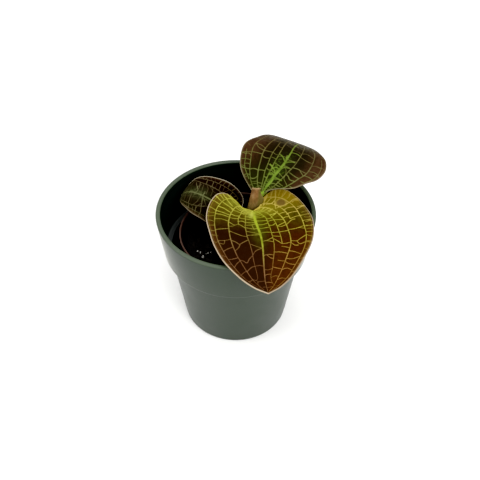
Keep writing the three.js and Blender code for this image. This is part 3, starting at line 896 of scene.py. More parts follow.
def bentPlace(leaf, u, v, lift):
    length = leaf["bendLength"]

    def slopeAt(distance):
        share = np.clip(distance / length, 0, 1.3) ** leaf["bend"]
        return np.radians(mixed(leaf["slopes"][0], leaf["slopes"][1], share))

    steps = 24
    along, rise = np.zeros_like(u), np.zeros_like(u)
    for k in range(steps):
        slope = slopeAt((k + 0.5) / steps * u)
        along = along + np.cos(slope) * u / steps
        rise = rise + np.sin(slope) * u / steps
    forward = rayAt(math.radians(leaf["heading"]))
    level = np.cross(up, forward)
    slope = slopeAt(u)[..., None]
    upright = np.cos(slope) * up - np.sin(slope) * forward
    roll = np.radians(leaf["roll"] + leaf["twist"] * np.clip(u / length, 0, 1))[..., None]
    side = np.cos(roll) * level + np.sin(roll) * upright
    normal = np.cos(roll) * upright - np.sin(roll) * level
    lobe = leaf["lobeLift"] * (np.clip(-u, 0, None) / 15) ** 1.5
    raised = lift + leaf["camber"] * (v / 30) ** 2 + lobe
    return (
        np.array(leaf["joint"]) + along[..., None] * forward + rise[..., None] * up
        + v[..., None] * side + raised[..., None] * normal
    )


# Draws veins into a mask over a blade's grid: 1 along a vein, fading over its half width. Only
# the window of the grid about each vein is worked out.
def drawVeins(leaf, flatU, flatV, shares, crossings, veins, widthAt, strengthAt):
    mask = np.zeros_like(flatU)
    last = len(leaf["rows"]) - 1
    rowMargin, crossMargin = 0.04, 0.08
    for vein in veins:
        samples = max(12, 8 * len(vein))
        line = throughPoints(vein, np.linspace(0, 1, samples))
        u, v = flatPlace(leaf, line[:, 0] / last, line[:, 1])
        (lowRow, lowCross), (highRow, highCross) = line.min(axis=0), line.max(axis=0)
        nearRows = (shares >= lowRow / last - rowMargin) & (shares <= highRow / last + rowMargin)
        nearColumns = (crossings >= lowCross - crossMargin) & (crossings <= highCross + crossMargin)
        window = np.ix_(nearRows, nearColumns)
        pu, pv = flatU[window], flatV[window]
        best = np.zeros_like(pu)
        for k in range(samples - 1):
            du, dv = u[k + 1] - u[k], v[k + 1] - v[k]
            span = du * du + dv * dv + 1e-9
            w = np.clip(((pu - u[k]) * du + (pv - v[k]) * dv) / span, 0, 1)
            distance = np.hypot(pu - u[k] - w * du, pv - v[k] - w * dv)
            row = (line[k, 0] + line[k + 1, 0]) / 2
            profile = np.exp(-((distance / widthAt(row)) ** 2.4)) * strengthAt(row)
            best = np.maximum(best, profile)
        mask[window] = np.maximum(mask[window], best)
    return mask


# Ladder veins between two long veins, for stretches whose own net isn't given.
def ladder(rng, low, high, fromRow, toRow, spacing, slant=0.2):
    rungs = []
    row = fromRow + rng.uniform(0, spacing)
    while row < toRow:
        tilt = rng.uniform(-slant, slant)
        middle = mixed(low, high, rng.uniform(0.35, 0.65))
        rungs.append([(row - tilt, low), (row + rng.uniform(-0.08, 0.08), middle), (row + tilt, high)])
        if rng.uniform() < 0.3:
            spurRow = row + rng.uniform(0.15, 0.3) * spacing
            rungs.append([(row, middle), (spurRow, mixed(middle, high, 0.9))])
        row += spacing * rng.uniform(0.65, 1.35)
    return rungs


frontLeaf = {
    "name": "front",
    "node": "leaf_front",
    "slot": "front_leaf",
    "gloss": 0.06,
    "paint": {
        "Dark": (30, 3, 0), "Rust": (66, 20, 0), "Olive": (96, 84, 2), "Young": (150, 152, 38),
        # the fold's pale tone here is a painted highlight beside the midrib's groove
        "Rib Ground": (98, 104, 12), "Fold Painted Highlight": (206, 214, 92), "Lobe Ground": (142, 124, 16),
        # the lobe's pale edge tone here is painted light, where the back leaf shades the lobe
        "Lobe Painted Light": (204, 170, 26), "Lobe Vein": (244, 214, 112), "Margin": (106, 66, 14),
        "Rim": (226, 206, 176), "Vein Young": (186, 182, 66), "Vein Old": (130, 93, 60),
        "Vein Rust": (166, 120, 58), "Midrib Colour": (166, 182, 40), "Blemish": (132, 104, 48),
        "Underside": (150, 104, 84),
        "Young From": 7.0, "Young To": 1.9, "Side Shift": 1.1, "Fold Painted Shading": 0.85, "Rib From": 8.8,
        "Rib To": 6.4, "Rib Glow": 0.6, "Rib Width": 0.14, "Lobe Amount": 0.8,
    },
    "petiole": {
        "collar": {"from": 28, "to": 32.5, "heading": -90, "span": 250},
        "route": [(10.15, -1.3, 78.6), (10.2, -3.6, 82.2), (10.5, -6.6, 88.5)],
        "radii": [1.5, 1.5, 1.45],
        "green": paint(128, 132, 44),
        "blush": paint(140, 96, 52),
    },
    "rows": [
        [0, 0, 0, 0, 0, 0], [1, 0, -4.2, 4.7, -4.5, -6.6], [2, 0.1, -12, 8.4, -11, -9.6],
        [3.2, 0.2, -18, 15.6, -17.3, -13.6], [5, 0.4, -17.3, 24.2, -18.3, -20.3],
        [8, 0.6, -8.5, 32.2, -11.5, -26.5], [13, 0.8, 4, 35.9, 0, -29.5], [22, 0.9, 17, 35.3, 14, -29],
        [33, 0.3, 30, 31.7, 28, -27.1], [44.5, -0.6, 43.5, 24.3, 42, -22.8],
        [54.5, -0.8, 54.5, 16.1, 53.2, -15.6], [61, -0.4, 61.4, 7.9, 61, -7.3], [65, 0, 65, 0, 65, 0],
    ],
    "joint": (10.7, -6, 94.7),
    "heading": -82.8,
    "slopes": (6, -28),
    "bendLength": 65,
    "bend": 2,
    "roll": 0,
    "twist": 0,
    "camber": -2.2,
    "lobeLift": 2,
    "seed": 11,
    "ribRoot": 0.4,
    "ribSwell": 1.2,
    "veinShare": 0.86,
    "veinFade": 0.4,
    "weakest": 0.75,
    "marginRungs": 0.42,
    "rimWidths": (0.8, 0.8),
    "rimStrengths": (1, 0.7),
    "rimStart": 2.5,
    "blemishes": [
        # row, across, half extent in rows, half extent across
        (4.15, 0.72, 0.56, 0.125),
    ],
    "grid": (90, 52),
    "midrib": [(0.2, 0), (2, 0), (4, -0.02), (5.5, -0.03), (6.5, -0.015), (7.3, 0.01), (8, 0.022),
               (9, 0.022), (10, 0.0), (10.6, -0.025), (11.9, 0)],
    "longVeins": [
        [(0.3, -0.3), (1.5, -0.28), (3, -0.27), (4.2, -0.25), (5.5, -0.23), (6, -0.235), (6.5, -0.26),
         (7.3, -0.265), (7.7, -0.245), (8.5, -0.225), (9.6, -0.245), (10.1, -0.3), (10.3, -0.42)],
        [(0.3, -0.7), (1.5, -0.7), (3, -0.64), (3.5, -0.62), (4, -0.585), (4.6, -0.56), (5.6, -0.55),
         (6.7, -0.59), (7.5, -0.61), (8.5, -0.6), (9, -0.57), (9.7, -0.55), (10.5, -0.53), (11.3, -0.4)],
        [(0.3, -0.93), (2, -0.92), (3, -0.88), (4, -0.845), (5, -0.835), (6, -0.83), (6.6, -0.855),
         (7.5, -0.88), (8.4, -0.86), (9.3, -0.84), (10.3, -0.8), (11.4, -0.6)],
        [(0.3, 0.25), (1.5, 0.2), (3, 0.17), (4.2, 0.16), (5, 0.18), (6, 0.18), (6.5, 0.19), (7.2, 0.21),
         (8.2, 0.25), (9, 0.25), (9.5, 0.24), (9.9, 0.21), (10.3, 0.23), (10.6, 0.32), (10.8, 0.43)],
        [(0.3, 0.65), (1.5, 0.6), (3, 0.5), (4, 0.47), (5, 0.45), (6, 0.47), (7, 0.51), (7.6, 0.55),
         (8.2, 0.575), (9, 0.55), (9.6, 0.52), (10.4, 0.46), (11, 0.4), (11.6, 0.2)],
        [(0.3, 0.93), (2.2, 0.89), (3, 0.83), (4, 0.81), (5, 0.81), (5.8, 0.79), (6.5, 0.8), (7, 0.82),
         (7.5, 0.85), (8.6, 0.88), (9.5, 0.85), (10.4, 0.8), (11.4, 0.6)],
    ],
    "longStrengths": [0.72, 1, 0.8, 0.75, 1, 0.85],
    "ribBranches": [],
    "shortVeins": [
        [(2.6, -0.45), (3.5, -0.42), (4.3, -0.37), (5.2, -0.37), (6.3, -0.38)],
        [(2.6, 0.33), (3.5, 0.3), (4.5, 0.295), (5.3, 0.29), (6.3, 0.315), (7, 0.34), (7.5, 0.37),
         (8.0, 0.4)],
        [(2.2, 0.7), (3.3, 0.64), (4, 0.62), (5, 0.6), (6.1, 0.59)],
        [(2.4, 0.62), (2.8, 0.7), (3.06, 0.79), (3.45, 0.82)],
        [(6.2, -0.12), (6.7, -0.1)],
    ],
    "crossVeins": [
        # between the midrib and the first long vein on the right side of the blade
        [(5.95, -0.23), (5.95, -0.12), (5.85, -0.03)], [(6.3, -0.24), (6.25, -0.15), (6.1, -0.04)],
        [(6.55, -0.26), (6.65, -0.12), (6.6, -0.02)], [(6.9, -0.26), (6.98, -0.15), (7.1, 0.0)],
        [(7.25, -0.26), (7.2, -0.12), (7.15, 0.0)], [(7.88, -0.24), (8.05, -0.1), (8.15, 0.01)],
        [(8.68, -0.24), (8.35, -0.14), (8.15, 0.01)], [(9.3, -0.24), (9.25, -0.1), (9.3, 0.02)],
        [(10.4, -0.42), (10.38, -0.2), (10.35, -0.01)], [(10.95, -0.3), (10.95, -0.12), (11.0, -0.02)],
        # first to second
        [(4.9, -0.55), (5.0, -0.45), (4.9, -0.38)], [(5.5, -0.56), (5.55, -0.46), (5.45, -0.38)],
        [(5.2, -0.37), (5.3, -0.3), (5.25, -0.24)], [(5.9, -0.38), (5.8, -0.3), (5.95, -0.24)],
        [(6.1, -0.56), (6.38, -0.46), (6.25, -0.38), (6.6, -0.26)],
        [(6.55, -0.58), (6.5, -0.5), (6.38, -0.46)],
        [(6.95, -0.59), (7.1, -0.5), (7.3, -0.36), (7.35, -0.27)],
        [(7.65, -0.61), (7.75, -0.53), (7.92, -0.46), (7.85, -0.41), (7.6, -0.26)],
        [(8.35, -0.6), (8.15, -0.5), (7.9, -0.44)],
        [(8.9, -0.58), (8.95, -0.5), (9.08, -0.42), (8.85, -0.33), (8.65, -0.23)],
        [(9.65, -0.56), (9.5, -0.45), (9.35, -0.33), (9.3, -0.24)],
        [(10.2, -0.54), (10.27, -0.45), (10.25, -0.36)], [(10.75, -0.52), (10.55, -0.45), (10.42, -0.38)],
        # second to third
        [(4.2, -0.84), (4.1, -0.7), (4.05, -0.59)], [(4.75, -0.84), (4.62, -0.72), (4.7, -0.57)],
        [(5.2, -0.84), (5.1, -0.7), (5.15, -0.56)], [(5.5, -0.83), (5.38, -0.7), (5.45, -0.56)],
        [(6.0, -0.83), (5.9, -0.7), (6.02, -0.57)], [(6.92, -0.87), (6.85, -0.78), (6.75, -0.6)],
        [(7.65, -0.88), (7.66, -0.75), (7.58, -0.61)], [(7.82, -0.87), (7.88, -0.78), (7.66, -0.74)],
        [(8.35, -0.86), (8.22, -0.75), (8.1, -0.61)], [(8.85, -0.85), (8.82, -0.72), (8.75, -0.59)],
        [(9.35, -0.84), (9.12, -0.7), (8.95, -0.58)], [(9.85, -0.83), (9.7, -0.68), (9.6, -0.56)],
        [(10.35, -0.8), (10.3, -0.66), (10.2, -0.54)],
        # left side of the blade, midrib to first
        [(5.65, -0.02), (5.72, 0.08), (5.8, 0.18)], [(6.2, -0.02), (6.25, 0.08), (6.15, 0.18)],
        [(6.65, -0.01), (6.62, 0.1), (6.6, 0.19)], [(7.05, 0.0), (7.02, 0.1), (7.08, 0.2)],
        [(7.7, 0.02), (7.68, 0.1), (7.82, 0.23)], [(7.68, 0.1), (7.52, 0.22)],
        [(8.65, 0.02), (8.6, 0.12), (8.68, 0.25)], [(8.62, 0.1), (8.82, 0.18), (8.88, 0.25)],
        [(9.52, 0.02), (9.55, 0.12), (9.5, 0.24)], [(9.9, 0.01), (9.85, 0.1), (9.85, 0.21)],
        [(10.5, -0.01), (10.48, 0.12), (10.55, 0.28)], [(11.05, -0.02), (11.0, 0.15), (10.95, 0.36)],
        # first to second
        [(4.85, 0.295), (4.88, 0.37), (4.85, 0.45)], [(4.1, 0.3), (4.15, 0.4), (4.05, 0.47)],
        [(5.5, 0.18), (5.55, 0.24), (5.45, 0.29)], [(5.95, 0.18), (5.88, 0.3), (6.05, 0.47)],
        [(6.42, 0.19), (6.46, 0.25), (6.3, 0.31)], [(6.62, 0.33), (6.7, 0.4), (6.6, 0.49)],
        [(7.12, 0.21), (7.15, 0.33), (7.12, 0.51)], [(7.4, 0.23), (7.46, 0.3), (7.5, 0.37)],
        [(7.62, 0.24), (7.85, 0.33), (8.03, 0.41), (8.0, 0.57)], [(8.5, 0.25), (8.55, 0.4), (8.68, 0.57)],
        [(8.2, 0.4), (8.28, 0.5), (8.35, 0.57)], [(9.02, 0.36), (9.08, 0.45), (9.12, 0.55)],
        [(9.4, 0.24), (9.5, 0.38), (9.58, 0.52)], [(10.1, 0.22), (10.0, 0.35), (10.05, 0.49)],
        [(3.9, 0.38), (3.95, 0.44), (4.0, 0.5)], [(5.25, 0.3), (4.95, 0.4), (4.7, 0.49)],
        [(6.58, 0.34), (6.45, 0.42), (6.33, 0.49)],
        # second to third and on to the short vein between them
        [(2.83, 0.63), (3.37, 0.64), (3.53, 0.74), (3.45, 0.82)],
        [(3.53, 0.74), (3.83, 0.63), (4.26, 0.53)], [(4.25, 0.54), (4.5, 0.7), (4.62, 0.81)],
        [(4.91, 0.59), (4.87, 0.69), (5.06, 0.8)], [(5.2, 0.46), (5.15, 0.52), (5.2, 0.6)],
        [(5.5, 0.57), (5.44, 0.67), (5.54, 0.8)], [(5.9, 0.47), (5.8, 0.53), (5.85, 0.59)],
        [(6.1, 0.59), (5.97, 0.71), (5.99, 0.79)], [(6.59, 0.5), (6.26, 0.6), (6.2, 0.67)],
        [(7.04, 0.51), (7.04, 0.62), (6.98, 0.71), (6.87, 0.81)], [(6.98, 0.7), (7.05, 0.78), (7.1, 0.83)],
        [(7.88, 0.56), (7.93, 0.68), (7.78, 0.75), (7.58, 0.84)],
        [(7.93, 0.68), (8.14, 0.76), (8.02, 0.87)],
        # third to the margin
        [(3.06, 0.79), (2.95, 0.86), (2.86, 0.96)], [(3.45, 0.82), (3.35, 0.88), (3.26, 0.97)],
        [(3.93, 0.84), (3.99, 0.9), (4.01, 0.98)], [(4.62, 0.82), (4.64, 0.91), (4.75, 0.98)],
        [(5.34, 0.8), (5.3, 0.9), (5.3, 0.98)], [(5.98, 0.79), (5.96, 0.9), (5.96, 0.97)],
        [(6.46, 0.81), (6.44, 0.95)], [(6.91, 0.82), (6.9, 0.96)], [(7.36, 0.84), (7.34, 0.97)],
        [(7.98, 0.88), (8.0, 0.98)], [(8.0, 0.57), (8.2, 0.66), (8.22, 0.74)],
        [(8.52, 0.57), (8.6, 0.7), (8.78, 0.88)], [(8.95, 0.55), (9.02, 0.7), (8.9, 0.87)],
        [(9.15, 0.55), (9.3, 0.68), (9.38, 0.85)], [(9.62, 0.52), (9.55, 0.65), (9.7, 0.84)],
        [(10.3, 0.47), (10.2, 0.62), (10.25, 0.81)],
    ],
    "ladders": [(-0.25, 0.0, 1.5, 5.5, 0.55), (0.0, 0.17, 1.5, 5.4, 0.55), (-0.62, -0.28, 1.8, 4.4, 0.6),
                (0.2, 0.5, 1.8, 3.8, 0.6), (-0.9, -0.65, 2.2, 4.0, 0.5), (0.62, 0.95, 1.0, 2.8, 0.45),
                (-0.8, -0.5, 10.6, 11.5, 0.35), (0.45, 0.8, 10.6, 11.5, 0.35)],
}

backLeaf = {
    "name": "back",
    "node": "leaf_back",
    "slot": "back_leaf",
    "gloss": 0.07,
    "paint": {
        "Dark": (12, 3, 0), "Rust": (66, 36, 8), "Olive": (24, 26, 0), "Young": (34, 52, 0),
        # the tip's greyish tone is painted sheen, where the blade turns away past its fold
        "Rib Ground": (30, 46, 2), "Tip Painted Sheen": (70, 52, 22), "Margin": (84, 46, 24),
        "Rim": (180, 164, 132), "Vein Young": (118, 126, 60), "Vein Old": (116, 106, 62),
        "Vein Rust": (124, 108, 60), "Midrib Colour": (124, 154, 44), "Underside": (128, 88, 78),
        "Young From": 6.5, "Young To": 1.0, "Rust From": 0.35, "Rust To": 0.8, "Both Sides": 1,
        "Rib Fade": 12, "Rib From": 8.8, "Rib To": 5.5, "Rib Glow": 0.95, "Rib Width": 0.2,
        "Vein Strength": 0.95, "Rib Patches": 0.4, "Tip Sheen Amount": 0.6,
    },
    "petiole": {
        "collar": None,
        "route": [(10.7, 0.8, 90.3), (11.1, 1.2, 93.5), (12, 1.9, 96.3), (14.3, 2.7, 98.6)],
        "radii": [1.6, 1.55, 1.6, 1.65],
        "green": paint(134, 172, 20),
        "blush": paint(104, 112, 30),
    },
    "rows": [
        [0, 0, 0, 0, 0, 0], [1.2, -0.2, -2.2, 3.5, 1.6, -1.9], [3, -0.4, -2.6, 8, 4.4, -4.7],
        [5.5, -0.8, -0.6, 14, 6.9, -8.4], [9, -1.5, 3, 20.4, 8.9, -12.9], [13, -2, 8.3, 27.2, 12, -17.8],
        [18, -2.1, 16.2, 32.1, 17.6, -22.7], [24, -1.5, 25.6, 34.4, 23.4, -27.9],
        [31, 0.2, 36, 32.6, 31.5, -27.2], [39, 2.4, 45, 31, 39.3, -21.5],
        [47, 4.8, 53, 25.5, 44.9, -13], [55.5, 7.3, 60, 18, 53.4, -3],
        [63.5, 9.5, 63.5, 9.5, 63.5, 9.5],
    ],
    "joint": (16.8, 3, 101.2),
    "heading": 48,
    "slopes": (52, -74),
    "bendLength": 66.4,
    "bend": 1.3,
    "roll": -6,
    "twist": 0,
    "camber": -1.5,
    "lobeLift": 0,
    "seed": 23,
    "ribRoot": 1,
    "ribSwell": 1.45,
    "veinShare": 0.95,
    "veinFade": 0.1,
    "weakest": 0.6,
    "marginRungs": 0.9,
    "rimWidths": (0.65, 0.9),
    "rimStrengths": (0.65, 1),
    "rimStart": 0,
    "blemishes": [],
    "grid": (88, 50),
    "midrib": [(0.2, 0), (2, 0), (4, 0.01), (5, 0.02), (6, 0), (7, -0.01), (8, -0.01), (9, 0.02),
               (10.5, 0.02), (11.9, 0)],
    "longVeins": [
        [(0.3, 0.3), (2, 0.22), (4.2, 0.18), (5, 0.17), (5.6, 0.17), (6.5, 0.18), (7.25, 0.19), (7.9, 0.22),
         (8.6, 0.26), (9.5, 0.3), (10.6, 0.25), (11.6, 0.15)],
        [(0.3, 0.6), (2.4, 0.56), (3.5, 0.52), (4, 0.5), (5, 0.47), (5.95, 0.47), (6.9, 0.51), (7.4, 0.54),
         (7.9, 0.57), (8.5, 0.59), (9.5, 0.6), (10.5, 0.55), (11.6, 0.35)],
        [(0.3, 0.9), (2.2, 0.84), (3.2, 0.8), (4.5, 0.73), (5, 0.71), (5.75, 0.71), (6.4, 0.74),
         (7.1, 0.78), (8, 0.83), (9.5, 0.86), (10.6, 0.8), (11.6, 0.6)],
        [(1.2, -0.62), (2.4, -0.52), (3.2, -0.45), (4.05, -0.37), (5.05, -0.32), (6.5, -0.28), (7.5, -0.28),
         (8.45, -0.28), (9.5, -0.27), (10.6, -0.24), (11.6, -0.15)],
        [(3.6, -0.93), (4.3, -0.84), (4.9, -0.77), (5.75, -0.73), (6.65, -0.69), (7.55, -0.655),
         (8.2, -0.64), (9, -0.64), (10, -0.63), (11, -0.5), (11.6, -0.35)],
    ],
    "longStrengths": [0.9, 1, 0.85, 0.9, 0.95],
    "ribBranches": [
        [(4.86, -0.01), (5.15, 0.12), (4.81, 0.17)], [(4.86, -0.01), (4.85, -0.19), (4.93, -0.37)],
        [(5.93, -0.01), (6.02, 0.09), (5.57, 0.17)], [(5.93, -0.01), (6.45, -0.09), (6.57, -0.2)],
        [(6.94, 0), (7.29, -0.16), (7.37, -0.24)], [(7.03, 0.01), (7.35, 0.09), (7.45, 0.17)],
        [(7.16, 0), (7.69, 0.03)], [(4.94, 0), (5.62, 0.09), (6.07, 0.24)],
        [(8.2, -0.01), (8.28, -0.15), (8.2, -0.27)],
    ],
    "shortVeins": [
        [(2.2, 0.36), (3, 0.3), (4, 0.29), (5, 0.29), (6, 0.29), (6.95, 0.32), (7.45, 0.34), (7.9, 0.36),
         (8.7, 0.41)],
        [(3.6, 0.84), (4, 0.84), (5, 0.86), (5.75, 0.85), (6.5, 0.88)],
        [(4.2, -0.88), (4.66, -0.79), (4.88, -0.67), (5.07, -0.51), (5.33, -0.36), (5.84, -0.28),
         (6.31, -0.17), (6.6, -0.01)],
        [(6.2, -0.95), (7, -0.93), (7.9, -0.89), (8.8, -0.85)],
    ],
    "crossVeins": [
        [(5.66, -0.73), (5.55, -0.56), (5.78, -0.4), (5.85, -0.29)],
        [(6.13, -0.72), (6.12, -0.55), (6.2, -0.33)], [(6.58, -0.29), (6.63, -0.17), (6.6, -0.01)],
        [(7.5, -0.28), (7.39, -0.16), (7.33, -0.01)],
        [(6.59, -0.69), (6.8, -0.55), (6.95, -0.45), (6.83, -0.28)],
        [(6.95, -0.68), (6.95, -0.55), (6.93, -0.45)], [(8.02, -0.64), (8.0, -0.49), (8.12, -0.28)],
        [(8.53, -0.64), (8.72, -0.42), (8.52, -0.28)], [(7.79, -0.65), (7.96, -0.77), (7.96, -0.89)],
        [(7.23, -0.67), (7.37, -0.8), (7.32, -0.93)], [(6.68, -0.69), (6.76, -0.82), (6.71, -0.94)],
        [(5.15, 0.02), (4.95, 0.1), (4.85, 0.17)], [(5.2, 0.02), (5.4, 0.1), (5.49, 0.17)],
        [(6.29, 0.0), (6.37, 0.09), (6.43, 0.18)], [(7.52, 0.0), (7.38, 0.11), (7.16, 0.19)],
        [(4.3, 0.18), (4.2, 0.23), (4.25, 0.29)], [(5.41, 0.17), (5.39, 0.23), (5.49, 0.29)],
        [(6.04, 0.17), (5.98, 0.23), (6.03, 0.29)], [(6.82, 0.19), (6.84, 0.25), (6.8, 0.31)],
        [(7.3, 0.19), (7.25, 0.26), (7.29, 0.33)], [(8.2, 0.24), (8.1, 0.3), (8.17, 0.38)],
        [(3.1, 0.3), (3.02, 0.4), (3.1, 0.53)], [(5.09, 0.29), (4.99, 0.4), (4.87, 0.47)],
        [(6.61, 0.31), (6.47, 0.41), (6.54, 0.49)], [(7.28, 0.34), (7.18, 0.43), (7.07, 0.52)],
        [(4.0, 0.5), (3.7, 0.6), (3.62, 0.7), (3.7, 0.78)], [(4.87, 0.47), (4.89, 0.6), (4.69, 0.72)],
        [(6.68, 0.5), (6.54, 0.67), (6.31, 0.84), (6.02, 0.98)], [(7.07, 0.52), (7.1, 0.66), (7.37, 0.8)],
        [(7.31, 0.54), (7.4, 0.67), (7.32, 0.79)], [(4.1, 0.75), (4.12, 0.88), (3.9, 0.99)],
        [(4.74, 0.72), (4.73, 0.84), (4.84, 0.99)], [(5.71, 0.71), (5.65, 0.84), (5.51, 0.99)],
        [(5.23, 0.71), (5.28, 0.77), (5.18, 0.86)], [(6.13, 0.72), (6.22, 0.79), (6.12, 0.86)],
    ],
    "ladders": [(-0.28, 0.0, 1.2, 5.8, 0.7), (0.0, 0.18, 1.2, 4.4, 0.6), (-0.7, -0.3, 1.2, 4.4, 0.6),
                (0.2, 0.5, 1.2, 2.8, 0.5), (0.55, 0.8, 1.0, 3.4, 0.5), (-0.27, 0.0, 8.2, 11.3, 0.6),
                (0.02, 0.26, 8.6, 11.3, 0.6), (-0.62, -0.28, 9.1, 11.3, 0.5), (0.3, 0.6, 8.2, 11.3, 0.6),
                (0.62, 0.85, 8.0, 11.3, 0.5)],
}

leftLeaf = {
    "name": "left",
    "node": "leaf_left",
    "slot": "left_leaf",
    "gloss": 0.03,
    # the left leaf's tones are painted dark, a painted shade for where it lies low under the rim and the
    # front leaf
    "paint": {
        "Dark": (8, 1, 0), "Rust": (10, 8, 0), "Olive": (16, 10, 0), "Young": (60, 62, 24),
        # the tip's greyish tone is painted sheen, where the blade turns away past its fold
        "Rib Ground": (48, 54, 20), "Tip Painted Sheen": (48, 46, 16), "Margin": (90, 64, 28),
        "Rim": (220, 206, 180), "Vein Young": (98, 90, 60), "Vein Old": (104, 94, 66),
        "Vein Rust": (98, 90, 62), "Midrib Colour": (122, 128, 80), "Underside": (112, 78, 72),
        "Young From": 5.0, "Young To": 0.0, "Rust From": 0.3, "Rust To": 0.9, "Rib Fade": 14,
        "Rib From": 5.2, "Rib To": 8.6, "Rib Glow": 0.95, "Rib Width": 0.4, "Vein Strength": 0.9,
        "Rib Patches": 0.4, "Tip Sheen Amount": 0.75,
    },
    "petiole": {
        "collar": {"from": 19.8, "to": 24.8, "heading": 150, "span": 250},
        "route": [(7.2, 4.6, 69.5), (4.4, 6.1, 71.8), (0.6, 7.5, 75.2)],
        "radii": [1.2, 1.2, 1.15],
        "green": paint(84, 88, 40),
        "blush": paint(96, 64, 46),
    },
    "rows": [
        [0, 0, 0, 0, 0, 0], [0.7, 0, -2.5, 3.8, -2, -3.8], [1.6, 0.2, -4.5, 8, -3.4, -8],
        [3, 0.4, -3.8, 12.5, -2.7, -12.5], [5, 0.7, 0, 16.2, 0.3, -16.8], [8, 1, 5.5, 17.6, 4.4, -19],
        [12.5, 1.4, 12, 18.3, 11.5, -18.9], [19, 1.6, 19.4, 17.9, 19.5, -17.2],
        [26, 1.3, 26.5, 15.7, 27.2, -15.4], [33, 0.5, 33.5, 11.8, 33.5, -12.2],
        [39, 0, 39.5, 6.8, 38.3, -7.4], [43.2, -0.2, 43.4, 2.9, 42.8, -3.4], [46, 0, 46, 0, 46, 0],
    ],
    "joint": (-2.7, 7.9, 79.2),
    "heading": 154.7,
    "slopes": (33, -84),
    "bendLength": 46,
    "bend": 2.04,
    "roll": -2.5,
    "twist": -8.5,
    "camber": 0,
    "lobeLift": 0,
    "seed": 37,
    "ribRoot": 0.8,
    "ribSwell": 1,
    "veinShare": 0.9,
    "veinFade": 0.0,
    "weakest": 0.5,
    "marginRungs": 1.2,
    "rimWidths": (1.0, 0.6),
    "rimStrengths": (1, 0.3),
    "rimStart": 0,
    "blemishes": [],
    "grid": (62, 36),
    "midrib": [(0.2, 0), (3, 0), (6, 0.0), (7, 0.0), (8, 0.0), (9, 0.0), (10, 0.0), (11.9, 0)],
    "longVeins": [
        [(0.3, -0.3), (3, -0.28), (5.5, -0.3), (6.7, -0.34), (7.04, -0.41), (7.39, -0.53)],
        [(0.3, -0.62), (3, -0.52), (5.5, -0.46), (6.07, -0.46), (6.54, -0.49), (6.93, -0.51), (7.39, -0.53),
         (8.22, -0.6), (9.36, -0.88), (9.9, -0.97)],
        [(0.3, 0.3), (3, 0.2), (6, 0.14), (7.4, 0.12), (8.3, 0.25), (9.3, 0.33), (10.5, 0.3)],
        [(0.3, 0.62), (3, 0.45), (5.5, 0.34), (6.51, 0.36), (6.86, 0.47), (7.42, 0.59), (8.17, 0.7),
         (9.58, 0.75), (10.8, 0.6)],
    ],
    "longStrengths": [0.6, 1, 0.45, 0.9],
    "ribBranches": [
        [(8.19, -0.07), (8.17, -0.16), (8.4, -0.36)], [(7.49, -0.03), (7.44, -0.12), (7.48, -0.2)],
        [(7.41, 0.04), (7.18, 0.29)], [(8.85, -0.05), (8.95, 0.12)],
    ],
    "shortVeins": [
        [(4, -0.76), (5.67, -0.74), (6.52, -0.75), (7.17, -0.77), (7.87, -0.79), (8.8, -0.88)],
        [(4, 0.85), (6, 0.83), (7.4, 0.84), (8.02, 0.89), (9, 0.93)],
    ],
    "crossVeins": [
        [(8.4, -0.36), (8.55, -0.46), (8.68, -0.62)],
        [(7.18, 0.29), (6.87, 0.59), (6.7, 0.76), (6.65, 0.95)], [(7.41, 0.04), (7.01, 0.2), (6.7, 0.33)],
        [(7.8, -0.79), (7.72, -0.57)], [(7.27, -0.77), (7.19, -0.53)], [(6.95, -0.77), (6.88, -0.51)],
        [(6.63, -0.76), (6.51, -0.49)], [(6.3, -0.76), (6.12, -0.46)],
        [(8.3, -0.6), (8.16, -0.36), (8.17, -0.16)], [(8.2, 0.69), (8.0, 0.95)],
        [(7.42, 0.59), (7.15, 0.87)], [(8.6, 0.02), (8.5, 0.3), (8.3, 0.7)],
        [(9.5, 0.0), (9.2, 0.3), (9.0, 0.72)], [(9.4, -0.02), (9.3, -0.4), (9.0, -0.7)],
    ],
    "ladders": [(-0.28, 0.0, 1.2, 6.8, 0.65), (0.0, 0.2, 1.2, 6.6, 0.65), (-0.48, -0.28, 1.2, 6.2, 0.6),
                (0.2, 0.42, 1.2, 6.2, 0.6), (-0.75, -0.5, 1.2, 6.1, 0.6), (0.42, 0.83, 1.2, 6.6, 0.7),
                (-0.5, 0.0, 8.8, 11.4, 0.45), (0.0, 0.33, 7.6, 11.4, 0.45), (0.33, 0.72, 7.0, 10.4, 0.5),
                (0.74, 0.97, 6.8, 10, 0.4), (-0.5, -0.12, 6.4, 8.6, 0.55), (-0.97, -0.78, 5.4, 8.6, 0.4)],
}

veinShape = {
    "thickness": 0.55,
    "height": 0.24,
    "puff": 0.22,
    "edgeWave": 0.35,
    # rows, and the half widths of the midrib and of long and cross veins at them
    "rows": [0, 4, 6.5, 8, 9.5, 10.7, 12],
    "midribWidth": [0.9, 0.8, 0.62, 0.5, 0.36, 0.24, 0.18],
    "longWidth": [0.5, 0.42, 0.37, 0.33, 0.26, 0.19, 0.15],
    "crossWidth": [0.42, 0.37, 0.28, 0.25, 0.22, 0.18, 0.15],
    # how many cells of the top lie over one cell of the underside, and how close its rows lie
    "finer": 4,
    "densityRows": [0, 2, 4, 6, 11, 12],
    "density": [0.7, 0.75, 1, 1.2, 1.2, 0.9],
    "columnPacking": 1.2,
}


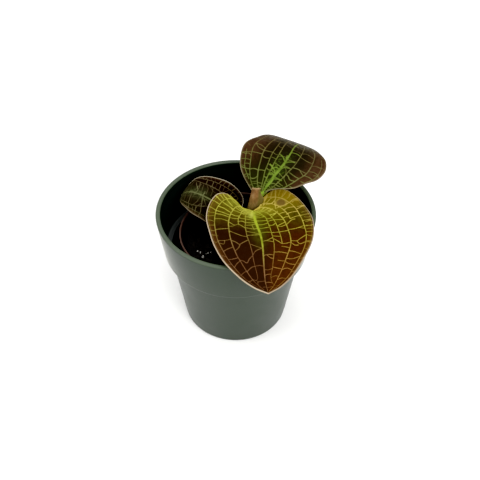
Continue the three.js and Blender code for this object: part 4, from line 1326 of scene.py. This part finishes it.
def makeBladeGrid(leaf):
    finer = veinShape["finer"]
    rows, columns = (count * finer for count in leaf["grid"])
    last = len(leaf["rows"]) - 1
    samples = 241
    density = np.interp(np.linspace(0, last, samples), veinShape["densityRows"], veinShape["density"])
    reached = np.concatenate([[0], np.cumsum((density[1:] + density[:-1]) / 2)])
    s = np.interp(np.linspace(0, 1, rows + 1), reached / reached[-1], np.linspace(0.0015, 0.9985, samples))
    packing = veinShape["columnPacking"]
    t = np.sin(np.linspace(-1, 1, columns + 1) * packing) / math.sin(packing)
    gridS, gridT = np.meshgrid(s, t, indexing="ij")
    u, v = flatPlace(leaf, gridS, gridT)
    row = gridS * last
    rng = np.random.default_rng(leaf["seed"])

    def widthOf(kind, share=1.0):
        share = share * leaf["veinShare"]
        return lambda place: share * float(np.interp(place, veinShape["rows"], veinShape[kind]))

    def ribWidth(place):
        swell = mixed(leaf["ribSwell"], 1, float(smoothStep(5.5, 9, place)))
        return swell * float(np.interp(place, veinShape["rows"], veinShape["midribWidth"]))

    def strengthOf(strength):
        return lambda place: float(strength * (1 - leaf["veinFade"] * smoothStep(8.5, 11.5, place)))

    def ribStrength(place):
        fade = 1 - leaf["veinFade"] * smoothStep(9, 11.8, place)
        return float(mixed(leaf["ribRoot"], 1, smoothStep(3.6, 5.4, place)) * fade)

    def drawn(veins, widthAt, strengthAt):
        return drawVeins(leaf, u, v, s, t, veins, widthAt, strengthAt)

    # Each small vein has a strength of its own, and a weak one is also thinner.
    def unevenVeins(veins, kind, share, strength):
        mask = np.zeros_like(u)
        for vein in veins:
            own = rng.uniform(leaf["weakest"], 1)
            width = widthOf(kind, share * (0.55 + 0.45 * own))
            mask = np.maximum(mask, drawn([vein], width, strengthOf(strength * own)))
        return mask

    branches = drawn(leaf["ribBranches"], widthOf("crossWidth", 1.5), strengthOf(0.8))
    midrib = np.maximum(drawn([leaf["midrib"]], ribWidth, ribStrength), branches)
    longVeins = [
        drawn([vein], widthOf("longWidth", 0.5 + 0.5 * strength), strengthOf(strength))
        for vein, strength in zip(leaf["longVeins"], leaf["longStrengths"])
    ]
    shortVeins = unevenVeins(leaf["shortVeins"], "longWidth", 0.9, 0.95)
    rungs = [rung for plan in leaf["ladders"] for rung in ladder(rng, *plan)]
    for side in (-1, 1):
        rungs += ladder(rng, 0.85 * side, 0.99 * side, 1.0, 11.2, leaf["marginRungs"], 0.08)
    cross = unevenVeins(leaf["crossVeins"], "crossWidth", 1.05, 1.1)
    faint = unevenVeins(rungs, "crossWidth", 0.95, 0.8)
    rim = [[(k, 0.955 * side) for k in np.linspace(0.4, 11.6, 20)] for side in (-1, 1)]
    collecting = drawn(rim, widthOf("crossWidth"), strengthOf(0.4))
    net = np.max([midrib, *longVeins, shortVeins, cross, faint, collecting], axis=0)

    share = np.abs(gridT)
    fade = smoothStep(0.05, 0.16, gridS) * (1 - smoothStep(0.93, 0.985, gridS))
    wave = veinShape["edgeWave"] * np.sin(2 * np.pi * 4.5 * gridS + leaf["seed"]) * share ** 3 * fade
    ridge = veinShape["height"] * np.maximum(net, 0.9 * midrib) * (0.35 + 0.65 * fade)
    puff = veinShape["puff"] * (1 - smoothStep(0.0, 0.5, net)) * fade * (1 - smoothStep(0.85, 1.0, share))
    edgeRound = 0.22 * smoothStep(0.965, 1.0, share)
    top = bentPlace(leaf, u, v, wave + ridge + puff - edgeRound)
    coarse = (slice(None, None, finer), slice(None, None, finer))
    below = wave[coarse] - veinShape["thickness"] + 0.12 * smoothStep(0.94, 1.0, share[coarse])
    midribV = flatPlace(leaf, s, np.zeros_like(s))[1][:, None]
    keelLine = 0.25 * np.exp(-((v - midribV) / 1.2) ** 2)[coarse]
    bottom = bentPlace(leaf, u[coarse], v[coarse], below - keelLine)
    return top, bottom, {
        "net": net,
        "midrib": midrib,
        "row": row,
        "across": gridT,
        "rim": rimMask(leaf, u, v, row, gridT),
        "blemish": blemishMask(leaf, row, gridT),
    }


# The pale rim, which is wider and stronger on one side of a blade than on the other.
def rimMask(leaf, u, v, row, across):
    edgeU, edgeV = u[:, [0, -1]].T.ravel(), v[:, [0, -1]].T.ravel()
    toEdge = np.array([
        np.hypot(rowU[:, None] - edgeU, rowV[:, None] - edgeV).min(axis=1) for rowU, rowV in zip(u, v)
    ])
    width, strength = (np.where(across < 0, *leaf[key]) for key in ("rimWidths", "rimStrengths"))
    strength = strength * smoothStep(leaf["rimStart"], leaf["rimStart"] + 1.3, row)
    return (1 - smoothStep(0.45, 1, toEdge / width)) * strength


def blemishMask(leaf, row, across):
    mask = np.zeros_like(row)
    for spotRow, spotAcross, halfRows, halfAcross in leaf["blemishes"]:
        away = np.hypot((row - spotRow) / halfRows, (across - spotAcross) / halfAcross)
        mask = np.maximum(mask, 1 - smoothStep(0.35, 1.1, away))
    return mask


# The underside's mesh is coarser than the top's, so the faces between them have several corners
# along the top.
def makeBlade(leaf):
    finer = veinShape["finer"]
    top, bottom, masks = makeBladeGrid(leaf)
    points = np.vstack([top.reshape(-1, 3), bottom.reshape(-1, 3)])
    upper = np.arange(top[..., 0].size).reshape(top.shape[:2])
    lower = upper.size + np.arange(bottom[..., 0].size).reshape(bottom.shape[:2])
    faces = cells(upper) + [(a, d, c, b) for a, b, c, d in cells(lower)]
    for i in range(lower.shape[0] - 1):
        near, far = upper[i * finer:(i + 1) * finer + 1, [0, -1]].T
        faces.append([*near, lower[i + 1, 0], lower[i, 0]])
        faces.append([*far[::-1], lower[i, -1], lower[i + 1, -1]])
    for j in range(lower.shape[1] - 1):
        foot, tip = upper[[0, -1], j * finer:(j + 1) * finer + 1]
        faces.append([*foot[::-1], lower[0, j], lower[0, j + 1]])
        faces.append([*tip, lower[-1, j + 1], lower[-1, j]])
    blade = makePiece(
        leaf["name"] + "Blade", points, faces, [leafMaterial(leaf)], [leaf["node"]], 60
    )
    for name, mask in masks.items():
        setMask(blade, name, np.concatenate([mask.ravel(), mask[::finer, ::finer].ravel()]))
    setMask(blade, "under", np.repeat([0, 1], [upper.size, lower.size]))


# A soft bump of 1 at a centre, falling off over a width.
def bell(tree, value, centre, width):
    offset = mathNode(tree, "DIVIDE", mathNode(tree, "SUBTRACT", value, centre), width)
    square = mathNode(tree, "POWER", offset, 2.0)
    return mathNode(tree, "POWER", 2.718, times(tree, square, -1.0))


# The blade's paint, from masks stored on the mesh. Each layer lies over the ones before it.
def buildLeafGroup():
    colours = [
        "Dark", "Rust", "Olive", "Young", "Rib Ground", "Fold Painted Highlight", "Lobe Ground", "Lobe Painted Light",
        "Lobe Vein", "Tip Painted Sheen", "Margin", "Rim", "Vein Young", "Vein Old", "Vein Rust",
        "Midrib Colour", "Blemish", "Underside",
    ]
    numbers = {
        "Young From": 6.7, "Young To": 2.8, "Side Shift": 0.0, "Rust From": -0.05, "Rust To": 0.4,
        "Both Sides": 0.0, "Rib Width": 0.15, "Rib From": 8.6, "Rib To": 6.2, "Rib Glow": 0.5,
        "Rib Fade": 9.8, "Rib Patches": 0.0, "Fold Painted Shading": 0.0, "Lobe Amount": 0.0,
        "Tip Sheen Amount": 0.0, "Vein Strength": 1.0,
    }
    group, given, result = newGroup(
        "leafPaint",
        [(label, colourSocket, (0, 0, 0, 1)) for label in colours]
        + [(label, valueSocket, value) for label, value in numbers.items()],
        [("Colour", colourSocket), ("Roughness", valueSocket), ("Height", valueSocket)],
    )

    def ramp(value, *span, **options):
        return mapRange(group, value, *span, **options)

    def over(ground, label, *amounts):
        return mixColour(group, times(group, *amounts), ground, given[label])

    across, row, net, midrib = (maskOf(group, name) for name in ("across", "row", "net", "midrib"))
    outward = mathNode(group, "ABSOLUTE", across)
    clouds = grain(group, 130.0, 1.3, 4.0)
    wander = times(group, mathNode(group, "SUBTRACT", clouds, 0.5), 1.2)
    side = times(group, ramp(across, 0.0, 0.4), given["Side Shift"])
    age = mathNode(group, "ADD", mathNode(group, "SUBTRACT", row, side), wander)
    youth = ramp(age, given["Young From"], given["Young To"], smooth=False)
    deep, fleck = grain(group, 420.0, 1.5, 4.0), grain(group, 1500.0, 1.6, 3.0)

    # the ground between the veins
    ground = over(given["Dark"], "Olive", ramp(youth, 0.0, 0.5, smooth=False))
    ground = over(ground, "Young", ramp(youth, 0.5, 1.0, smooth=False))
    mirrored = times(group, mathNode(group, "SUBTRACT", outward, across), given["Both Sides"])
    rustPlace = mathNode(group, "ADD", mathNode(group, "ADD", across, mirrored), times(group, wander, 0.1))
    rustSide = ramp(rustPlace, given["Rust From"], given["Rust To"])
    ground = over(ground, "Rust", rustSide, ramp(youth, 0.45, 0.0))
    nearRib = bell(group, across, -0.02, given["Rib Width"])
    ribRows = ramp(mathNode(group, "ADD", row, wander), given["Rib From"], given["Rib To"])
    ground = over(ground, "Rib Ground", nearRib, ribRows, given["Rib Glow"])
    # painted shade and highlight along the midrib's groove near the joint: a darker olive line on one side
    # and a pale stripe on the other
    fold = times(group, ramp(row, 5.6, 3.8), given["Fold Painted Shading"])
    ground = over(ground, "Olive", bell(group, across, 0.09, 0.06), fold)
    ground = over(ground, "Fold Painted Highlight", bell(group, across, -0.1, 0.08), fold)
    # the lobe's olive-gold ground is partly its own tone and partly painted light, where the back leaf shades
    # it
    lobeRows = times(group, ramp(row, 5.8, 3.6), given["Lobe Amount"])
    ground = over(ground, "Lobe Ground", ramp(across, 0.1, 0.6), lobeRows)
    # painted sheen: a greyish tone on the blade past its fold, where it turns away
    ground = over(ground, "Tip Painted Sheen", ramp(row, 8.2, 10.4), given["Tip Sheen Amount"])
    ground = over(ground, "Dark", ramp(deep, 0.42, 0.72), ramp(youth, 1.0, 0.3, 0.12, 0.42))
    ground = over(ground, "Margin", ramp(outward, 0.82, 0.98), 0.5)
    # painted light on the lobe's curled edge
    ground = over(ground, "Lobe Painted Light", ramp(across, 0.66, 0.95), lobeRows)
    ground = over(ground, "Margin", ramp(fleck, 0.5, 0.95, 0.0, 0.06))
    patchy = ramp(grain(group, 460.0, 1.9, 3.0), 0.5, 0.72)
    besideRib = times(group, bell(group, across, 0.0, 0.17), ribRows)
    ground = over(ground, "Midrib Colour", patchy, besideRib, given["Rib Patches"])

    # the veins' own tones
    veinTone = over(given["Vein Old"], "Vein Rust", ramp(across, -0.15, 0.45))
    veinTone = over(veinTone, "Vein Young", ramp(age, 8.8, 4.4))
    veinTone = over(veinTone, "Midrib Colour", bell(group, across, 0.06, 0.2), ramp(row, 8.8, 6.8), 0.6)
    lobeVeins = times(group, ramp(across, 0.3, 0.75), ramp(row, 7.4, 5.0))
    veinTone = over(veinTone, "Lobe Vein", lobeVeins, given["Lobe Amount"])
    ribAge = mathNode(group, "SUBTRACT", row, given["Rib Fade"])
    veinTone = over(veinTone, "Midrib Colour", ramp(midrib, 0.2, 0.9), ramp(ribAge, 0.0, -2.6))

    # veins, rim and blemish over the ground, and the underside
    uneven = ramp(grain(group, 300.0, 1.7, 3.0), 0.25, 0.7, 0.62, 1.0)
    veinMask = times(group, ramp(net, 0.1, 0.7), given["Vein Strength"])
    skin = mixColour(group, mathNode(group, "MULTIPLY", veinMask, uneven, clamp=True), ground, veinTone)
    skin = over(skin, "Rim", maskOf(group, "rim"), 0.8)
    spot = maskOf(group, "blemish")
    skin = over(skin, "Lobe Vein", ramp(spot, 0.0, 0.4, 0.0, 0.3))
    skin = over(skin, "Blemish", ramp(spot, 0.5, 0.95, 0.0, 0.9))
    backNet = over(given["Underside"], "Vein Old", net, 0.35)
    skin = mixColour(group, maskOf(group, "under"), skin, backNet)
    velvet = times(group, grain(group, 3200.0, 1.5, 2.0), 0.5)
    group.links.new(skin, result["Colour"])
    group.links.new(ramp(deep, 0.2, 0.8, 0.32, 0.55), result["Roughness"])
    group.links.new(mathNode(group, "ADD", velvet, times(group, fleck, 0.5)), result["Height"])
    return group


leafGroup = buildLeafGroup()
# A pale sheen is painted into a blade's colour where it is seen edge on.
paintedLeafSheen = {"amount": 0.16, "tone": paint(190, 184, 150)}


def leafMaterial(leaf):
    material, tree, shader = newMaterial(leaf["name"] + "LeafSkin", Specular_IOR_Level=leaf["gloss"])
    inputs = {}
    for label, value in leaf["paint"].items():
        inputs[label] = paint(*value) if isinstance(value, tuple) else value
    skin = addNode(tree, "ShaderNodeGroup", inputs, node_tree=leafGroup).outputs
    # painted sheen: a pale tone mixed in where the blade is seen edge on
    facing = addNode(tree, "ShaderNodeLayerWeight", {"Blend": 0.5}).outputs["Facing"]
    edgeOn = mapRange(tree, facing, 0.5, 1.0, 0.0, paintedLeafSheen["amount"])
    tree.links.new(mixColour(tree, edgeOn, skin["Colour"], paintedLeafSheen["tone"]), shader.inputs["Base Color"])
    tree.links.new(skin["Roughness"], shader.inputs["Roughness"])
    addBump(tree, shader, skin["Height"], 0.00012, 0.5)
    return material


# The petiole runs on as a keel under the blade, and a collar clasps the stem at its foot.
keel = {
    "radii": [1.35, 1.1, 0.85, 0.65, 0.5],
    "stations": [0.04, 0.2, 0.38, 0.58, 0.8],
}
collarShape = {
    "radius": 2.5,
    "rows": 24,
    "columns": 60,
}


def petioleMaterial(leaf):
    material, tree, shader = newMaterial(
        leaf["name"] + "PetioleSkin", Specular_IOR_Level=0.2, Subsurface_Weight=0.06
    )
    shader.inputs["Subsurface Radius"].default_value = fleshDepth
    streaks = grain(tree, 420.0, 1.5, 4.0, (1, 1, 0.3))
    blushing = mapRange(tree, streaks, 0.45, 0.8)
    tone = mixColour(tree, blushing, leaf["petiole"]["green"], leaf["petiole"]["blush"])
    finishSkin(tree, shader, tone, streaks, (0, 1, 0.3, 0.5), (0.0002, 0.4))
    return material


def makePetiole(leaf):
    petiole, collar = leaf["petiole"], leaf["petiole"]["collar"]
    length = leaf["rows"][-1][0]
    route = [np.array(point, float) for point in petiole["route"]]
    for share, radius in zip(keel["stations"], keel["radii"]):
        v = flatPlace(leaf, np.array([share ** 0.8]), np.array([0.0]))[1]
        lift = np.array([-0.8 - 0.55 * radius])
        route.append(bentPlace(leaf, np.array([length * share]), v, lift)[0])

    def collarAt(share, turn):
        ray = rayAt(math.radians(collar["heading"] + collar["span"] * (turn - 0.5)))
        foot = up * mixed(collar["from"], collar["to"], share)
        wall = 0.45 + 0.5 * math.sin(math.pi * share) ** 0.6
        thin = 1 - 0.5 * float(smoothStep(0.8, 1.0, 2 * abs(turn - 0.5)))
        radius = collarShape["radius"]
        return alongStem([ray * (radius + 0.05 + wall * thin) + foot, ray * radius + foot])

    parts = [taperedBar(route, petiole["radii"] + keel["radii"], 120, 28)]
    if collar:
        parts.append(wrapped(collarShape["rows"], collarShape["columns"], collarAt))
    points, faces = joined(*parts)
    makePiece(
        leaf["name"] + "Petiole", points, faces, [petioleMaterial(leaf)], [leaf["node"]], 60
    )


for leaf in (frontLeaf, backLeaf, leftLeaf):
    makeBlade(leaf)
    makePetiole(leaf)
    print(leaf["name"], "leaf made")
